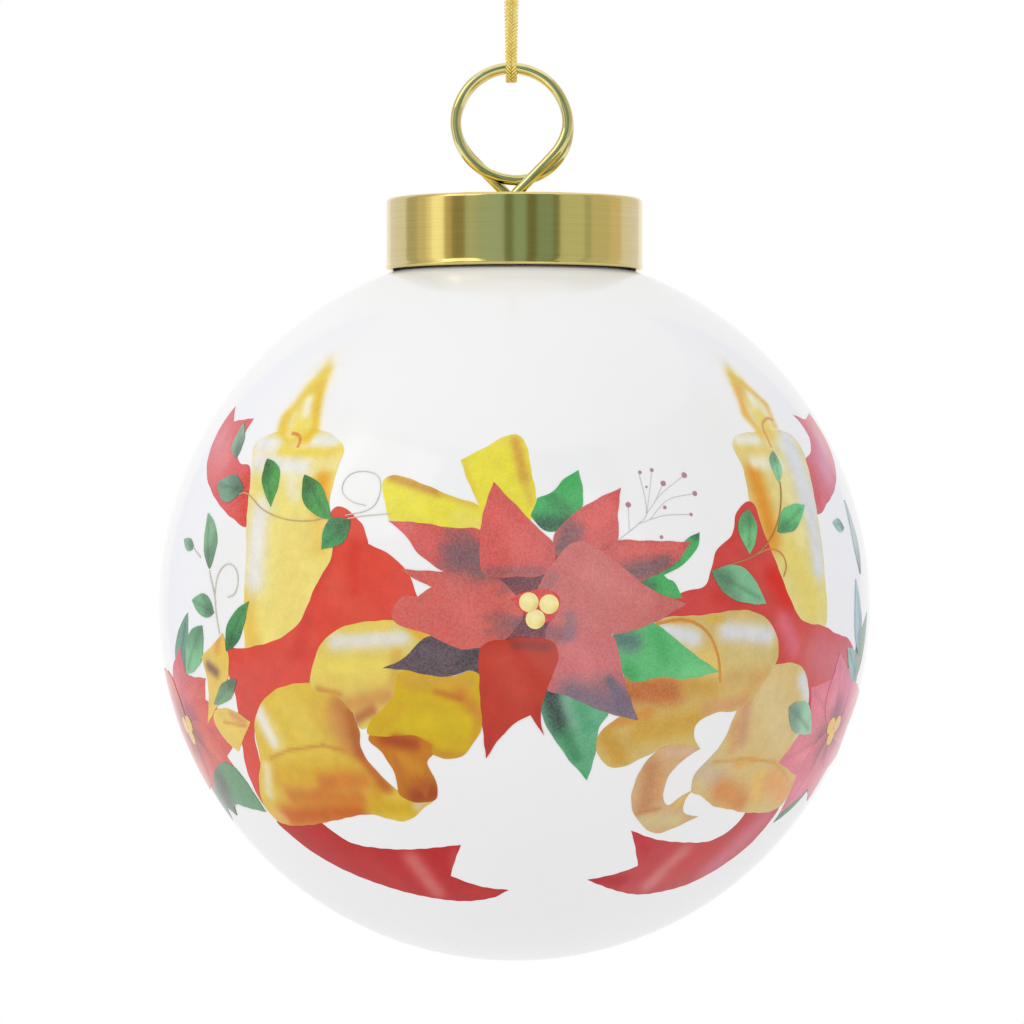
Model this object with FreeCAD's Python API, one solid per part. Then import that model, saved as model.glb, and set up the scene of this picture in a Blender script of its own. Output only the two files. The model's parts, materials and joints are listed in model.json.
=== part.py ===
"""Glass ball ornament: a printed opal glass ball with a metal cap, a twisted wire hanger and a cord loop.

Millimetres, +Z up. The origin is the hang point: the axis of the peg or hook that the cord loop hangs on.
Each sub-part is written to parts/NODE.step.
"""
import FreeCAD, Part
import math
import os

os.makedirs("parts", exist_ok=True)
Vec = FreeCAD.Vector

# ---- driving dimensions ----
BALL_DIAMETER = 76.0        # over the print
GLASS_WALL = 1.2
PRINT_FILM = 0.1
LOOP_DROP = 45.0            # hang point down to the axis that the ring swings about in the cord
RING_RADIUS = 5.95          # centre line of the two wire turns
WIRE_DIAMETER = 1.15
CAP_DIAMETER = 27.3
CORD_DIAMETER = 0.8
PEG_DIAMETER = 3.0          # the hook or peg that the loop is made for

# ---- heights above the ball's centre ----
RING_CENTRE_Z = 51.4
CAP_TOP_Z = 43.4
CAP_RIM_Z = 36.0
NECK_TOP_Z = 41.5
CUSHION_TOP_Z = 40.0
PRINT_TOP_Z = 28.0
PRINT_BOTTOM_Z = -33.0
LEG_END_Z = 22.0

# ---- radii ----
BALL_RADIUS = BALL_DIAMETER / 2
GLASS_RADIUS = BALL_RADIUS - PRINT_FILM
GLASS_INSIDE = GLASS_RADIUS - GLASS_WALL
NECK_RADIUS = 10.5
NECK_BORE = 9.0
SHOULDER_FILLET = 0.8
CAP_RADIUS = CAP_DIAMETER / 2
CAP_WALL = 0.4
CAP_EDGE = 0.45             # rounding of the cap's top edge, outside
CUSHION_OUTSIDE = 13.0
CUSHION_INSIDE = 10.65
CUSHION_GAP = 0.15          # between the cushion and the glass shoulder

# ---- the slot in the cap that the wire's two legs pass through ----
SLOT_LENGTH = 5.2
SLOT_WIDTH = 3.8

# ---- the wire's two turns ----
SIDE_STEP = 0.59            # each turn stands this far in front of or behind the middle plane
LEG_SIDE = 0.80             # and each leg this far, where the two cross at the cap
CORNER_STEP = 40.0          # degrees between the corners that the turns are drawn round
FIRST_CORNER = 10.0
STEP_BACK = 0.55            # the wire steps from the front turn to the back one between the two legs
CORNER_SIDES = [-SIDE_STEP] * 6 + [-STEP_BACK, STEP_BACK] + [SIDE_STEP] * 6
LEG_SPREAD = 7.8            # legs stand this far apart from the axis, inside the neck
LEG_SLOPE = 46.0            # degrees, where a leg leaves the ring
LEG_BEND_Z = CAP_TOP_Z - LEG_SPREAD * math.tan(math.radians(LEG_SLOPE))

# ---- the cord loop, about the hang point ----
CORD_AXIS_Z = RING_CENTRE_Z + RING_RADIUS       # the ring swings about this height
BALL_CENTRE_Z = -LOOP_DROP - CORD_AXIS_Z        # the ball's centre below the hang point
SEAT_RADIUS = 1.68          # centre line of the cord's bend under the two wires
EYE_RADIUS = (PEG_DIAMETER + CORD_DIAMETER) / 2
LOOP_TWIST = 32.0           # degrees that the loop turns between the ring and the hang point
THROAT_RADIUS = 0.42        # half the distance between the two strands at the knot
THROAT_Z = 3.9
KNOT_RADIUS = 2.1
KNOT_HEIGHT = 4.4
TAIL_LENGTH = 5.5


def ball_frame(shape):
    """Move a shape drawn about the ball's centre to its place under the hang point."""
    moved = shape.copy()
    moved.translate(Vec(0, 0, BALL_CENTRE_Z))
    return moved


def revolved(edges):
    """A solid of revolution about Z from the edges of a closed outline in the XZ plane."""
    face = Part.Face(Part.Wire(edges))
    return face.revolve(Vec(0, 0, 0), Vec(0, 0, 1), 360)


def line(a, b):
    """A straight edge between two (r, z) points of an outline."""
    return Part.LineSegment(Vec(a[0], 0, a[1]), Vec(b[0], 0, b[1])).toShape()


def arc(a, middle, b):
    """An arc through three (r, z) points of an outline."""
    return Part.Arc(Vec(a[0], 0, a[1]), Vec(middle[0], 0, middle[1]), Vec(b[0], 0, b[1])).toShape()


def on_sphere(radius, r=None, z=None):
    """The (r, z) point of a sphere about the ball's centre, at a height z or, above its middle, at a radius r."""
    if r is None:
        return (math.sqrt(radius ** 2 - z ** 2), z)
    return (r, math.sqrt(radius ** 2 - r ** 2))


def corner(centre, radius, degrees):
    """The (r, z) point at an angle on a circle in an outline."""
    angle = math.radians(degrees)
    return (centre[0] + radius * math.cos(angle), centre[1] + radius * math.sin(angle))


def rounded_path(points, share):
    """A wire of straight runs joined by tangent arcs, and the arcs' radii.

    Each arc takes up to the given share of the shorter of its two runs.
    """
    edges = []
    radii = []
    start = points[0]
    for before, here, after in zip(points, points[1:], points[2:]):
        back = (before - here).normalize()
        onward = (after - here).normalize()
        half_turn = (math.pi - back.getAngle(onward)) / 2
        reach = share * min((before - here).Length, (after - here).Length)
        radius = reach / math.tan(half_turn)
        enter = here + back * reach
        leave = here + onward * reach
        inward = (back + onward).normalize()
        middle = here + inward * (radius / math.cos(half_turn) - radius)
        if (enter - start).Length > 1e-6:
            edges.append(Part.LineSegment(start, enter).toShape())
        edges.append(Part.Arc(enter, middle, leave).toShape())
        radii.append(radius)
        start = leave
    if (points[-1] - start).Length > 1e-6:
        edges.append(Part.LineSegment(start, points[-1]).toShape())
    return Part.Wire(edges), radii


def tube(path, diameter):
    """A round bar of the given diameter along a path."""
    first = path.Edges[0]
    start = first.Vertexes[0].Point
    section = Part.Wire(Part.makeCircle(diameter / 2, start, first.tangentAt(first.FirstParameter)))
    return path.makePipeShell([section], True, True)


def glass_ball():
    """Blown ball, open at the top in a short neck with a fire-rounded lip."""
    lip = (NECK_RADIUS - NECK_BORE) / 2
    lip_centre = (NECK_BORE + lip, NECK_TOP_Z - lip)
    # the fillet between the ball and the neck touches both, outside
    fillet_r = NECK_RADIUS + SHOULDER_FILLET
    fillet_centre = (fillet_r, on_sphere(GLASS_RADIUS + SHOULDER_FILLET, r=fillet_r)[1])
    slope = math.degrees(math.atan2(fillet_centre[1], fillet_centre[0]))
    on_glass = corner(fillet_centre, SHOULDER_FILLET, slope + 180)
    on_neck = corner(fillet_centre, SHOULDER_FILLET, 180)
    between = corner(fillet_centre, SHOULDER_FILLET, (slope + 360) / 2)
    bore_foot = on_sphere(GLASS_INSIDE, r=NECK_BORE)
    outline = [
        arc((0, -GLASS_RADIUS), (GLASS_RADIUS, 0), on_glass),
        arc(on_glass, between, on_neck),
        line(on_neck, (NECK_RADIUS, lip_centre[1])),
        arc((NECK_RADIUS, lip_centre[1]), (lip_centre[0], NECK_TOP_Z), (NECK_BORE, lip_centre[1])),
        line((NECK_BORE, lip_centre[1]), bore_foot),
        arc(bore_foot, (GLASS_INSIDE, 0), (0, -GLASS_INSIDE)),
        line((0, -GLASS_INSIDE), (0, -GLASS_RADIUS)),
    ]
    return revolved(outline)


def printed_band():
    """The thin film of print around the ball's middle."""
    low_in = on_sphere(GLASS_RADIUS, z=PRINT_BOTTOM_Z)
    high_in = on_sphere(GLASS_RADIUS, z=PRINT_TOP_Z)
    low_out = on_sphere(BALL_RADIUS, z=PRINT_BOTTOM_Z)
    high_out = on_sphere(BALL_RADIUS, z=PRINT_TOP_Z)
    outline = [
        arc(low_out, (BALL_RADIUS, 0), high_out),
        line(high_out, high_in),
        arc(high_in, (GLASS_RADIUS, 0), low_in),
        line(low_in, low_out),
    ]
    return revolved(outline)


def cushion_ring():
    """Soft collar around the neck, inside the cap's wall, chamfered where the neck meets the shoulder."""
    under = GLASS_RADIUS + CUSHION_GAP
    chamfer = SHOULDER_FILLET + CUSHION_GAP
    foot_in = on_sphere(under, r=CUSHION_INSIDE + chamfer)
    foot_out = on_sphere(under, r=CUSHION_OUTSIDE)
    foot_middle = on_sphere(under, r=(foot_in[0] + foot_out[0]) / 2)
    chamfer_top = (CUSHION_INSIDE, foot_in[1] + chamfer)
    outline = [
        arc(foot_in, foot_middle, foot_out),
        line(foot_out, (CUSHION_OUTSIDE, CUSHION_TOP_Z)),
        line((CUSHION_OUTSIDE, CUSHION_TOP_Z), (CUSHION_INSIDE, CUSHION_TOP_Z)),
        line((CUSHION_INSIDE, CUSHION_TOP_Z), chamfer_top),
        line(chamfer_top, foot_in),
    ]
    return revolved(outline)


def cap():
    """Drawn metal cup with a rounded top edge, a rounded rim and a slot for the wire's legs."""
    inside = CAP_RADIUS - CAP_WALL
    ceiling = CAP_TOP_Z - CAP_WALL
    edge_centre = (CAP_RADIUS - CAP_EDGE, CAP_TOP_Z - CAP_EDGE)
    rim_r = CAP_WALL / 2
    rim_centre = (CAP_RADIUS - rim_r, CAP_RIM_Z + rim_r)
    outline = [
        line((0, ceiling), (0, CAP_TOP_Z)),
        line((0, CAP_TOP_Z), (edge_centre[0], CAP_TOP_Z)),
        arc((edge_centre[0], CAP_TOP_Z), corner(edge_centre, CAP_EDGE, 45), (CAP_RADIUS, edge_centre[1])),
        line((CAP_RADIUS, edge_centre[1]), (CAP_RADIUS, rim_centre[1])),
        arc((CAP_RADIUS, rim_centre[1]), (rim_centre[0], CAP_RIM_Z), (inside, rim_centre[1])),
        line((inside, rim_centre[1]), (inside, ceiling)),
        line((inside, ceiling), (0, ceiling)),
    ]
    straight = (SLOT_LENGTH - SLOT_WIDTH) / 2
    depth = 4 * CAP_WALL
    slot_z = CAP_TOP_Z - depth / 2
    slot = Part.makeBox(2 * straight, SLOT_WIDTH, depth, Vec(-straight, -SLOT_WIDTH / 2, slot_z))
    for x in (-straight, straight):
        end = Part.makeCylinder(SLOT_WIDTH / 2, depth, Vec(x, 0, slot_z))
        slot = slot.fuse(end)
    return revolved(outline).cut(slot.removeSplitter())


def hanger_route():
    """Corner points of the wire: up from one leg, one and a half turns round the ring, down the other leg."""
    reach = RING_RADIUS / math.cos(math.radians(CORNER_STEP / 2))
    turns = []
    for step, side in enumerate(CORNER_SIDES):
        angle = math.radians(FIRST_CORNER + CORNER_STEP * step)
        turns.append(Vec(reach * math.cos(angle), side, RING_CENTRE_Z + reach * math.sin(angle)))
    slope = math.tan(math.radians(LEG_SLOPE))
    # a leg meets the line that touches the ring where its first corner's arc begins
    touch = math.radians(FIRST_CORNER - CORNER_STEP / 2)
    touch_x = RING_RADIUS * math.cos(touch)
    touch_z = RING_CENTRE_Z + RING_RADIUS * math.sin(touch)
    along = (touch_z - CAP_TOP_Z - slope * touch_x) / (math.cos(touch) + slope * math.sin(touch))
    knee_x = touch_x + along * math.sin(touch)
    knee_z = touch_z - along * math.cos(touch)
    first_leg = [
        Vec(-LEG_SPREAD, -LEG_SIDE, LEG_END_Z),
        Vec(-LEG_SPREAD, -LEG_SIDE, LEG_BEND_Z),
        Vec(knee_x, -LEG_SIDE, knee_z),
    ]
    last_leg = [Vec(-p.x, -p.y, p.z) for p in reversed(first_leg)]
    return first_leg + turns + last_leg


def hanger_wire():
    """Springy wire wound into a double ring, its two legs crossing at the cap and standing in the neck."""
    path, _ = rounded_path(hanger_route(), 0.499)
    return tube(path, WIRE_DIAMETER)


def cord_route():
    """Corner points of the cord: from the knot past the peg, down, under the ring and up again."""
    twist = math.radians(LOOP_TWIST)
    across = Vec(math.sin(twist), -math.cos(twist), 0)
    seat_z = -LOOP_DROP
    corner_z = seat_z - SEAT_RADIUS * math.tan(math.radians(30))
    bottom_z = seat_z - SEAT_RADIUS / math.cos(math.radians(30))
    return [
        across * THROAT_RADIUS + Vec(0, 0, THROAT_Z),
        across * EYE_RADIUS + Vec(0, 0, 0.4),
        Vec(0, -SEAT_RADIUS, corner_z),
        Vec(0, 0, bottom_z),
        Vec(0, SEAT_RADIUS, corner_z),
        across * -EYE_RADIUS + Vec(0, 0, 0.4),
        across * -THROAT_RADIUS + Vec(0, 0, THROAT_Z),
    ]


def cord():
    """The cord's two strands and the bend under the ring."""
    path, radii = rounded_path(cord_route(), 0.499)
    solid = tube(path, CORD_DIAMETER)
    wanted = math.pi * CORD_DIAMETER ** 2 / 4 * path.Length
    print("cord length %.1f mm, arc radii %s mm" % (path.Length, ", ".join("%.2f" % r for r in radii)))
    print("cord volume %.3f, section times length %.3f mm3" % (solid.Volume, wanted))
    return solid


def cord_knot():
    """Overhand knot that closes the loop, as the barrel it fills."""
    top = THROAT_Z + KNOT_HEIGHT
    half = KNOT_HEIGHT / 2
    waist = 0.55 * KNOT_RADIUS
    outline = [
        line((0, top), (0, THROAT_Z)),
        line((0, THROAT_Z), (waist, THROAT_Z)),
        arc((waist, THROAT_Z), (KNOT_RADIUS, THROAT_Z + half), (waist, top)),
        line((waist, top), (0, top)),
    ]
    return revolved(outline)


def cord_tails():
    """The cord's two cut ends, standing out of the knot."""
    root_z = THROAT_Z + KNOT_HEIGHT
    tails = []
    for side, lean in ((-1, 24.0), (1, 15.0)):
        root = Vec(side * 0.55, 0.15 * side, root_z)
        angle = math.radians(lean)
        direction = Vec(side * math.sin(angle), 0, math.cos(angle))
        tails.append(Part.makeCylinder(CORD_DIAMETER / 2, TAIL_LENGTH, root, direction))
    return Part.makeCompound(tails)


solids = {
    "glass_ball": ball_frame(glass_ball()),
    "printed_band": ball_frame(printed_band()),
    "cushion_ring": ball_frame(cushion_ring()),
    "cap": ball_frame(cap()),
    "hanger_wire": ball_frame(hanger_wire()),
    "cord": cord(),
    "cord_knot": cord_knot(),
    "cord_tails": cord_tails(),
}
for node, shape in solids.items():
    box = shape.BoundBox
    print("%-13s valid %s, %d solid, %.1f mm3, z %.2f to %.2f"
          % (node, shape.isValid(), len(shape.Solids), shape.Volume, box.ZMin, box.ZMax))
    shape.exportStep("parts/%s.step" % node)
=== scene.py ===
import json
import math

import bmesh
import bpy
import numpy as np
from mathutils import Matrix, Vector
from mathutils.geometry import delaunay_2d_cdt

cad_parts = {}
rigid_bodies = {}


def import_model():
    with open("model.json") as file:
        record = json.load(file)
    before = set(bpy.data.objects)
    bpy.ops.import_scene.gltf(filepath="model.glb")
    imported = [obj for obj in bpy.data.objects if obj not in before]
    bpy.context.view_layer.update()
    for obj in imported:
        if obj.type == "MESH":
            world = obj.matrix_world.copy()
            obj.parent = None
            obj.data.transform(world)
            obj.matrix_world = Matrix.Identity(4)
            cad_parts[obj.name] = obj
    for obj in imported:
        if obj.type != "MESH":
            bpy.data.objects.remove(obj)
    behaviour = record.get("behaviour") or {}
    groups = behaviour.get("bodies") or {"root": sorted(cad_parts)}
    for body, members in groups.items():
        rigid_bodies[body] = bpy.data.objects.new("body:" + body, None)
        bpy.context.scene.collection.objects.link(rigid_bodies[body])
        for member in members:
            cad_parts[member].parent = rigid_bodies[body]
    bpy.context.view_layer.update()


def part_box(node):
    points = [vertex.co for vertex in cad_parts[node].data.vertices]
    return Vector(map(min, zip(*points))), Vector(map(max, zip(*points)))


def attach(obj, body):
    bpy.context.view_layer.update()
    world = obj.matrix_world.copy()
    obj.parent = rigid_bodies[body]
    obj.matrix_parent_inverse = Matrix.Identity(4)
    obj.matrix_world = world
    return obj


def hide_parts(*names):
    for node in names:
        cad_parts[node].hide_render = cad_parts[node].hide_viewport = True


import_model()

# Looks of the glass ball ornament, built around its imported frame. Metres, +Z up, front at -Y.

MM = 0.001

# ---- places and sizes from the frame ----
BALL_LOW, BALL_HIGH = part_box("glass_ball")
CAP_LOW, CAP_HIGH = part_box("cap")
WIRE_LOW, WIRE_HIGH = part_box("hanger_wire")
CUSHION_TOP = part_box("cushion_ring")[1][2]
GLASS_RADIUS = 37.9 * MM
GLASS_WALL = 1.2 * MM
BALL_Z = BALL_LOW[2] + GLASS_RADIUS
NECK_RADIUS = 10.5 * MM
NECK_BORE = 9.0 * MM
NECK_TOP = BALL_HIGH[2]
CAP_RADIUS = 13.65 * MM
CAP_WALL = 0.4 * MM
CAP_TOP = CAP_HIGH[2]
CAP_RIM = CAP_LOW[2]
WIRE_RADIUS = 0.575 * MM
RING_RADIUS = 5.95 * MM
RING_X = -0.33 * MM         # the ring and the cord hang a little to the left of the cap's middle
RING_Z = WIRE_HIGH[2] - WIRE_RADIUS - RING_RADIUS
CORD_WIDTH = 1.23 * MM
CORD_THICKNESS = 0.34 * MM

scene = bpy.context.scene


# ======================================================================== camera, light and backdrop
CAMERA_DISTANCE = 0.746
FOCAL_LENGTH = 245.7
SHIFT_X = -0.0024
SHIFT_Y = 0.0913
FLOOR_RADIUS = 1.2
FLOOR_DROP = 0.25           # the floor lies this far below the ball's centre
KEY_PLACE = (-0.9, -0.7, BALL_Z + 0.7)
KEY_SIZE = (0.8, 0.8)
WINDOW_PLACE = (0.19, -0.50, BALL_Z + 0.05)
WINDOW_GLOWS = ((0.20, 0.26), (0.32, 0.46), (0.46, 0.70))    # width and watts, one inside the other


def make_camera():
    """A long lens level with the ball's centre; the shift leaves room for the ring above the ball."""
    data = bpy.data.cameras.new("camera")
    data.lens = FOCAL_LENGTH
    data.sensor_width = 36.0
    data.shift_x = SHIFT_X
    data.shift_y = SHIFT_Y
    data.clip_start = 0.01
    data.dof.use_dof = False
    camera = bpy.data.objects.new("camera", data)
    camera.location = (0.0, -CAMERA_DISTANCE, BALL_Z)
    camera.rotation_euler = (math.pi / 2, 0.0, 0.0)
    scene.collection.objects.link(camera)
    scene.camera = camera


def area_light(name, place, aim, size, watts, tone):
    """A soft rectangular light that points from one place at another."""
    data = bpy.data.lights.new(name, "AREA")
    data.shape = "RECTANGLE"
    data.size, data.size_y = size
    data.energy = watts
    data.color = tone
    light = bpy.data.objects.new(name, data)
    light.location = place
    light.rotation_euler = (Vector(aim) - Vector(place)).to_track_quat("-Z", "Y").to_euler()
    light.visible_camera = False
    scene.collection.objects.link(light)
    return light


def plain_material(name, tone, glow=False):
    """A plain paper or a plain glowing card for the studio."""
    material = bpy.data.materials.new(name)
    material.use_nodes = True
    surface = material.node_tree.nodes["Principled BSDF"]
    surface.inputs["Base Color"].default_value = (*((0.0, 0.0, 0.0) if glow else tone), 1.0)
    surface.inputs["Roughness"].default_value = 1.0
    surface.inputs["Specular IOR Level"].default_value = 0.0
    if glow:
        surface.inputs["Emission Color"].default_value = (*tone, 1.0)
        surface.inputs["Emission Strength"].default_value = 1.0
    return material


# What polished metal mirrors round the studio: azimuth from and to (0 at the front), colour of the light.
# The colours were scaled by ratios, photo to render, that a scratch script printed for columns of the cap.
CARD_RADIUS = 1.3
CARD_FOOT, CARD_TOP = -0.85, 1.5
CARDS = [
    (-150, -114, (0.79, 0.81, 1.02)), (-114, -98, (0.49, 0.48, 0.43)), (-98, -86, (0.66, 0.62, 0.52)),
    (-86, -80, (0.88, 0.82, 0.66)), (-80, -66, (1.14, 1.16, 1.0)), (-66, -58, (0.54, 0.46, 0.30)),
    (-58, -45, (0.27, 0.26, 0.16)), (-45, -34, (0.46, 0.53, 0.49)), (-34, -22, (0.38, 0.50, 0.51)),
    (-22, -9, (0.37, 0.50, 0.55)), (-9, -1, (0.17, 0.22, 0.16)), (-1, 11, (0.29, 0.42, 0.42)),
    (11, 20, (0.17, 0.19, 0.11)), (20, 35, (0.25, 0.36, 0.36)), (35, 41, (0.20, 0.23, 0.15)),
    (41, 66, (0.56, 0.62, 0.54)), (66, 73, (0.42, 0.46, 0.38)), (73, 96, (0.58, 0.58, 0.49)),
    (96, 112, (0.70, 0.62, 0.54)), (112, 150, (0.78, 0.79, 1.0)),
]


def make_cards():
    """Upright curved cards out of the picture, which only polished surfaces see."""
    for number, (start, end, tone) in enumerate(CARDS):
        vertices = []
        for angle in np.radians(np.linspace(start, end, 9)):
            x, y = CARD_RADIUS * math.sin(angle), -CARD_RADIUS * math.cos(angle)
            vertices += [(x, y, RING_Z + CARD_FOOT), (x, y, RING_Z + CARD_TOP)]
        faces = [(k, k + 1, k + 3, k + 2) for k in range(0, 16, 2)]
        mesh = bpy.data.meshes.new("card_%02d" % number)
        mesh.from_pydata(vertices, [], faces)
        mesh.materials.append(plain_material("card_%02d" % number, tone, glow=True))
        card = bpy.data.objects.new("card_%02d" % number, mesh)
        card.visible_camera = False
        card.visible_diffuse = False
        card.visible_shadow = False
        scene.collection.objects.link(card)


def make_studio():
    """White surroundings, a pale floor below the ball and a soft key light from the upper left."""
    world = bpy.data.worlds.new("white_room")
    world.use_nodes = True
    world.node_tree.nodes["Background"].inputs["Color"].default_value = (1.0, 1.0, 1.0, 1.0)
    world.node_tree.nodes["Background"].inputs["Strength"].default_value = 1.0
    scene.world = world
    scene.view_settings.view_transform = "Standard"

    bpy.ops.mesh.primitive_circle_add(vertices=96, radius=FLOOR_RADIUS, fill_type="NGON",
                                      location=(0, 0, BALL_Z - FLOOR_DROP))
    floor = bpy.context.object
    floor.name = "floor"
    floor.data.materials.append(plain_material("floor_paper", (0.9, 0.9, 0.9)))

    area_light("key_light", KEY_PLACE, (0.0, 0.0, BALL_Z), KEY_SIZE, 2.2, (1.0, 0.99, 0.97))


def make_sheen(pieces):
    """The milky reflection of a window on the ball's right front; only glass and print receive it."""
    seen_by = bpy.data.collections.new("glass_and_print")
    scene.collection.children.link(seen_by)
    for piece in pieces:
        seen_by.objects.link(piece)
    for width, watts in WINDOW_GLOWS:
        light = area_light("window_%d" % (width * 100), WINDOW_PLACE, (0.0, 0.0, BALL_Z),
                           (width, width * 1.35), watts, (0.96, 0.98, 1.0))
        light.data.shape = "ELLIPSE"
        light.visible_diffuse = False
        light.light_linking.receiver_collection = seen_by


make_camera()
make_studio()
make_cards()


# ======================================================================== mesh helpers
def new_piece(name, vertices, faces, material):
    """A smooth-shaded mesh object with one material."""
    mesh = bpy.data.meshes.new(name)
    mesh.from_pydata([tuple(v) for v in vertices], [], faces)
    mesh.materials.append(material)
    mesh.validate()
    mesh.shade_smooth()
    piece = bpy.data.objects.new(name, mesh)
    scene.collection.objects.link(piece)
    return piece


def lathe(name, profile, segments, material):
    """A closed ring of revolution about Z from a closed list of (r, z) points; r of 0 makes a pole."""
    vertices = []
    rows = []
    for r, z in profile:
        if r < 1e-9:
            rows.append([len(vertices)] * segments)
            vertices.append((0.0, 0.0, z))
            continue
        start = len(vertices)
        rows.append([start + k for k in range(segments)])
        for k in range(segments):
            angle = 2 * math.pi * k / segments
            vertices.append((r * math.cos(angle), r * math.sin(angle), z))
    faces = []
    for low, high in zip(rows, rows[1:] + rows[:1]):
        for k in range(segments):
            n = (k + 1) % segments
            face = []
            for index in (low[k], low[n], high[n], high[k]):
                if index not in face:
                    face.append(index)
            if len(face) > 2:
                faces.append(face)
    return new_piece(name, vertices, faces, material)


def arc_points(centre, radius, start, end, count):
    """Points (r, z) along an arc, angles in degrees."""
    angles = np.radians(np.linspace(start, end, count))
    return [(centre[0] + radius * math.cos(a), centre[1] + radius * math.sin(a)) for a in angles]


def swept(name, path, section, material, across):
    """A closed bar along a path; its section's x runs along the across vector."""
    path = [Vector(p) for p in path]
    vertices = []
    count = len(section)
    for index, point in enumerate(path):
        before = path[max(index - 1, 0)]
        after = path[min(index + 1, len(path) - 1)]
        tangent = (after - before).normalized()
        side = Vector(across)
        side = (side - tangent * side.dot(tangent)).normalized()
        out = tangent.cross(side)
        for x, y in section:
            vertices.append(point + side * x + out * y)
    faces = []
    for row in range(len(path) - 1):
        for k in range(count):
            n = (k + 1) % count
            a = row * count
            faces.append((a + k, a + n, a + count + n, a + count + k))
    faces.append(tuple(reversed(range(count))))
    faces.append(tuple(range((len(path) - 1) * count, len(path) * count)))
    return new_piece(name, vertices, faces, material)


def circle_section(radius, count):
    """Points of a round section."""
    return [(radius * math.cos(2 * math.pi * k / count), radius * math.sin(2 * math.pi * k / count))
            for k in range(count)]


def nurbs_points(name, control, steps):
    """Points along a smooth NURBS line through a route of control points."""
    curve = bpy.data.curves.new(name, "CURVE")
    curve.dimensions = "3D"
    spline = curve.splines.new("NURBS")
    spline.points.add(len(control) - 1)
    for point, place in zip(spline.points, control):
        point.co = (*place, 1.0)
    spline.order_u = 3
    spline.use_endpoint_u = True
    curve.resolution_u = steps
    line = bpy.data.objects.new(name, curve)
    scene.collection.objects.link(line)
    bpy.context.view_layer.update()
    mesh = bpy.data.meshes.new_from_object(line)
    points = [v.co.copy() for v in mesh.vertices]
    bpy.data.objects.remove(line)
    bpy.data.meshes.remove(mesh)
    return points


def resample(points, spacing):
    """Evenly spaced points along a line of points."""
    lengths = [0.0]
    for a, b in zip(points, points[1:]):
        lengths.append(lengths[-1] + (b - a).length)
    count = max(2, int(round(lengths[-1] / spacing)) + 1)
    wanted = np.linspace(0.0, lengths[-1], count)
    columns = [np.interp(wanted, lengths, [p[axis] for p in points]) for axis in range(3)]
    return [Vector(row) for row in zip(*columns)]


# ======================================================================== materials
def colour(red, green, blue):
    """An everyday 0 to 255 colour as linear light."""
    def linear(value):
        value = value / 255
        return value / 12.92 if value <= 0.04045 else ((value + 0.055) / 1.055) ** 2.4
    return (linear(red), linear(green), linear(blue))


class Shader:
    """A short way to write a material's nodes."""

    def __init__(self, name):
        self.material = bpy.data.materials.new(name)
        self.material.use_nodes = True
        self.tree = self.material.node_tree
        self.surface = self.tree.nodes["Principled BSDF"]

    def node(self, kind, settings=None, **values):
        """A new node with its settings and its sockets' values."""
        made = self.tree.nodes.new(kind)
        for key, value in (settings or {}).items():
            setattr(made, key, value)
        for key, value in values.items():
            made.inputs[key.replace("_", " ")].default_value = value
        return made

    def link(self, a, b):
        self.tree.links.new(a, b)

    def set(self, **values):
        """Constants on the surface's own sockets."""
        for key, value in values.items():
            self.surface.inputs[key.replace("_", " ")].default_value = value

    def place(self, scale):
        """Object coordinates, stretched."""
        coords = self.node("ShaderNodeTexCoord")
        mapping = self.node("ShaderNodeMapping")
        mapping.inputs["Scale"].default_value = scale
        self.link(coords.outputs["Object"], mapping.inputs["Vector"])
        return mapping.outputs["Vector"]

    def noise(self, scale, detail, stretch=(1, 1, 1)):
        """Grain on the object; scale is in cells to the metre."""
        made = self.node("ShaderNodeTexNoise", Scale=scale, Detail=detail)
        self.link(self.place(stretch), made.inputs["Vector"])
        return made.outputs["Fac"]

    def ramp(self, source, stops):
        """A value turned into greys or colours by a few stops."""
        made = self.node("ShaderNodeValToRGB")
        band = made.color_ramp
        while len(band.elements) < len(stops):
            band.elements.new(0.5)
        for element, (position, value) in zip(band.elements, stops):
            element.position = position
            element.color = (*value, 1.0) if isinstance(value, tuple) else (value, value, value, 1.0)
        self.link(source, made.inputs["Fac"])
        return made.outputs["Color"]

    def darken(self, a, b, factor):
        """Colour a multiplied by colour b, as far as the factor says."""
        made = self.node("ShaderNodeMix", {"data_type": "RGBA", "blend_type": "MULTIPLY"})
        made.inputs["Factor"].default_value = factor
        self.link(a, made.inputs["A"])
        self.link(b, made.inputs["B"])
        return made.outputs["Result"]

    def bump(self, height, distance, strength):
        made = self.node("ShaderNodeBump", Strength=strength, Distance=distance)
        self.link(height, made.inputs["Height"])
        self.link(made.outputs["Normal"], self.surface.inputs["Normal"])

    def to(self, source, socket):
        self.link(source, self.surface.inputs[socket])


GLASS_TONES = [(0.3, (0.81, 0.81, 0.812)), (0.7, (0.825, 0.825, 0.827))]
GLASS_ROUGHNESS = 0.11


def opal_glass():
    """Opaque white glass, fire polished, with the faintest waviness."""
    s = Shader("opal_glass")
    s.to(s.ramp(s.noise(60.0, 3.0), GLASS_TONES), "Base Color")
    s.set(Roughness=GLASS_ROUGHNESS, IOR=1.5)
    s.bump(s.noise(35.0, 2.0), 0.00004, 0.15)
    return s.material


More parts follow.
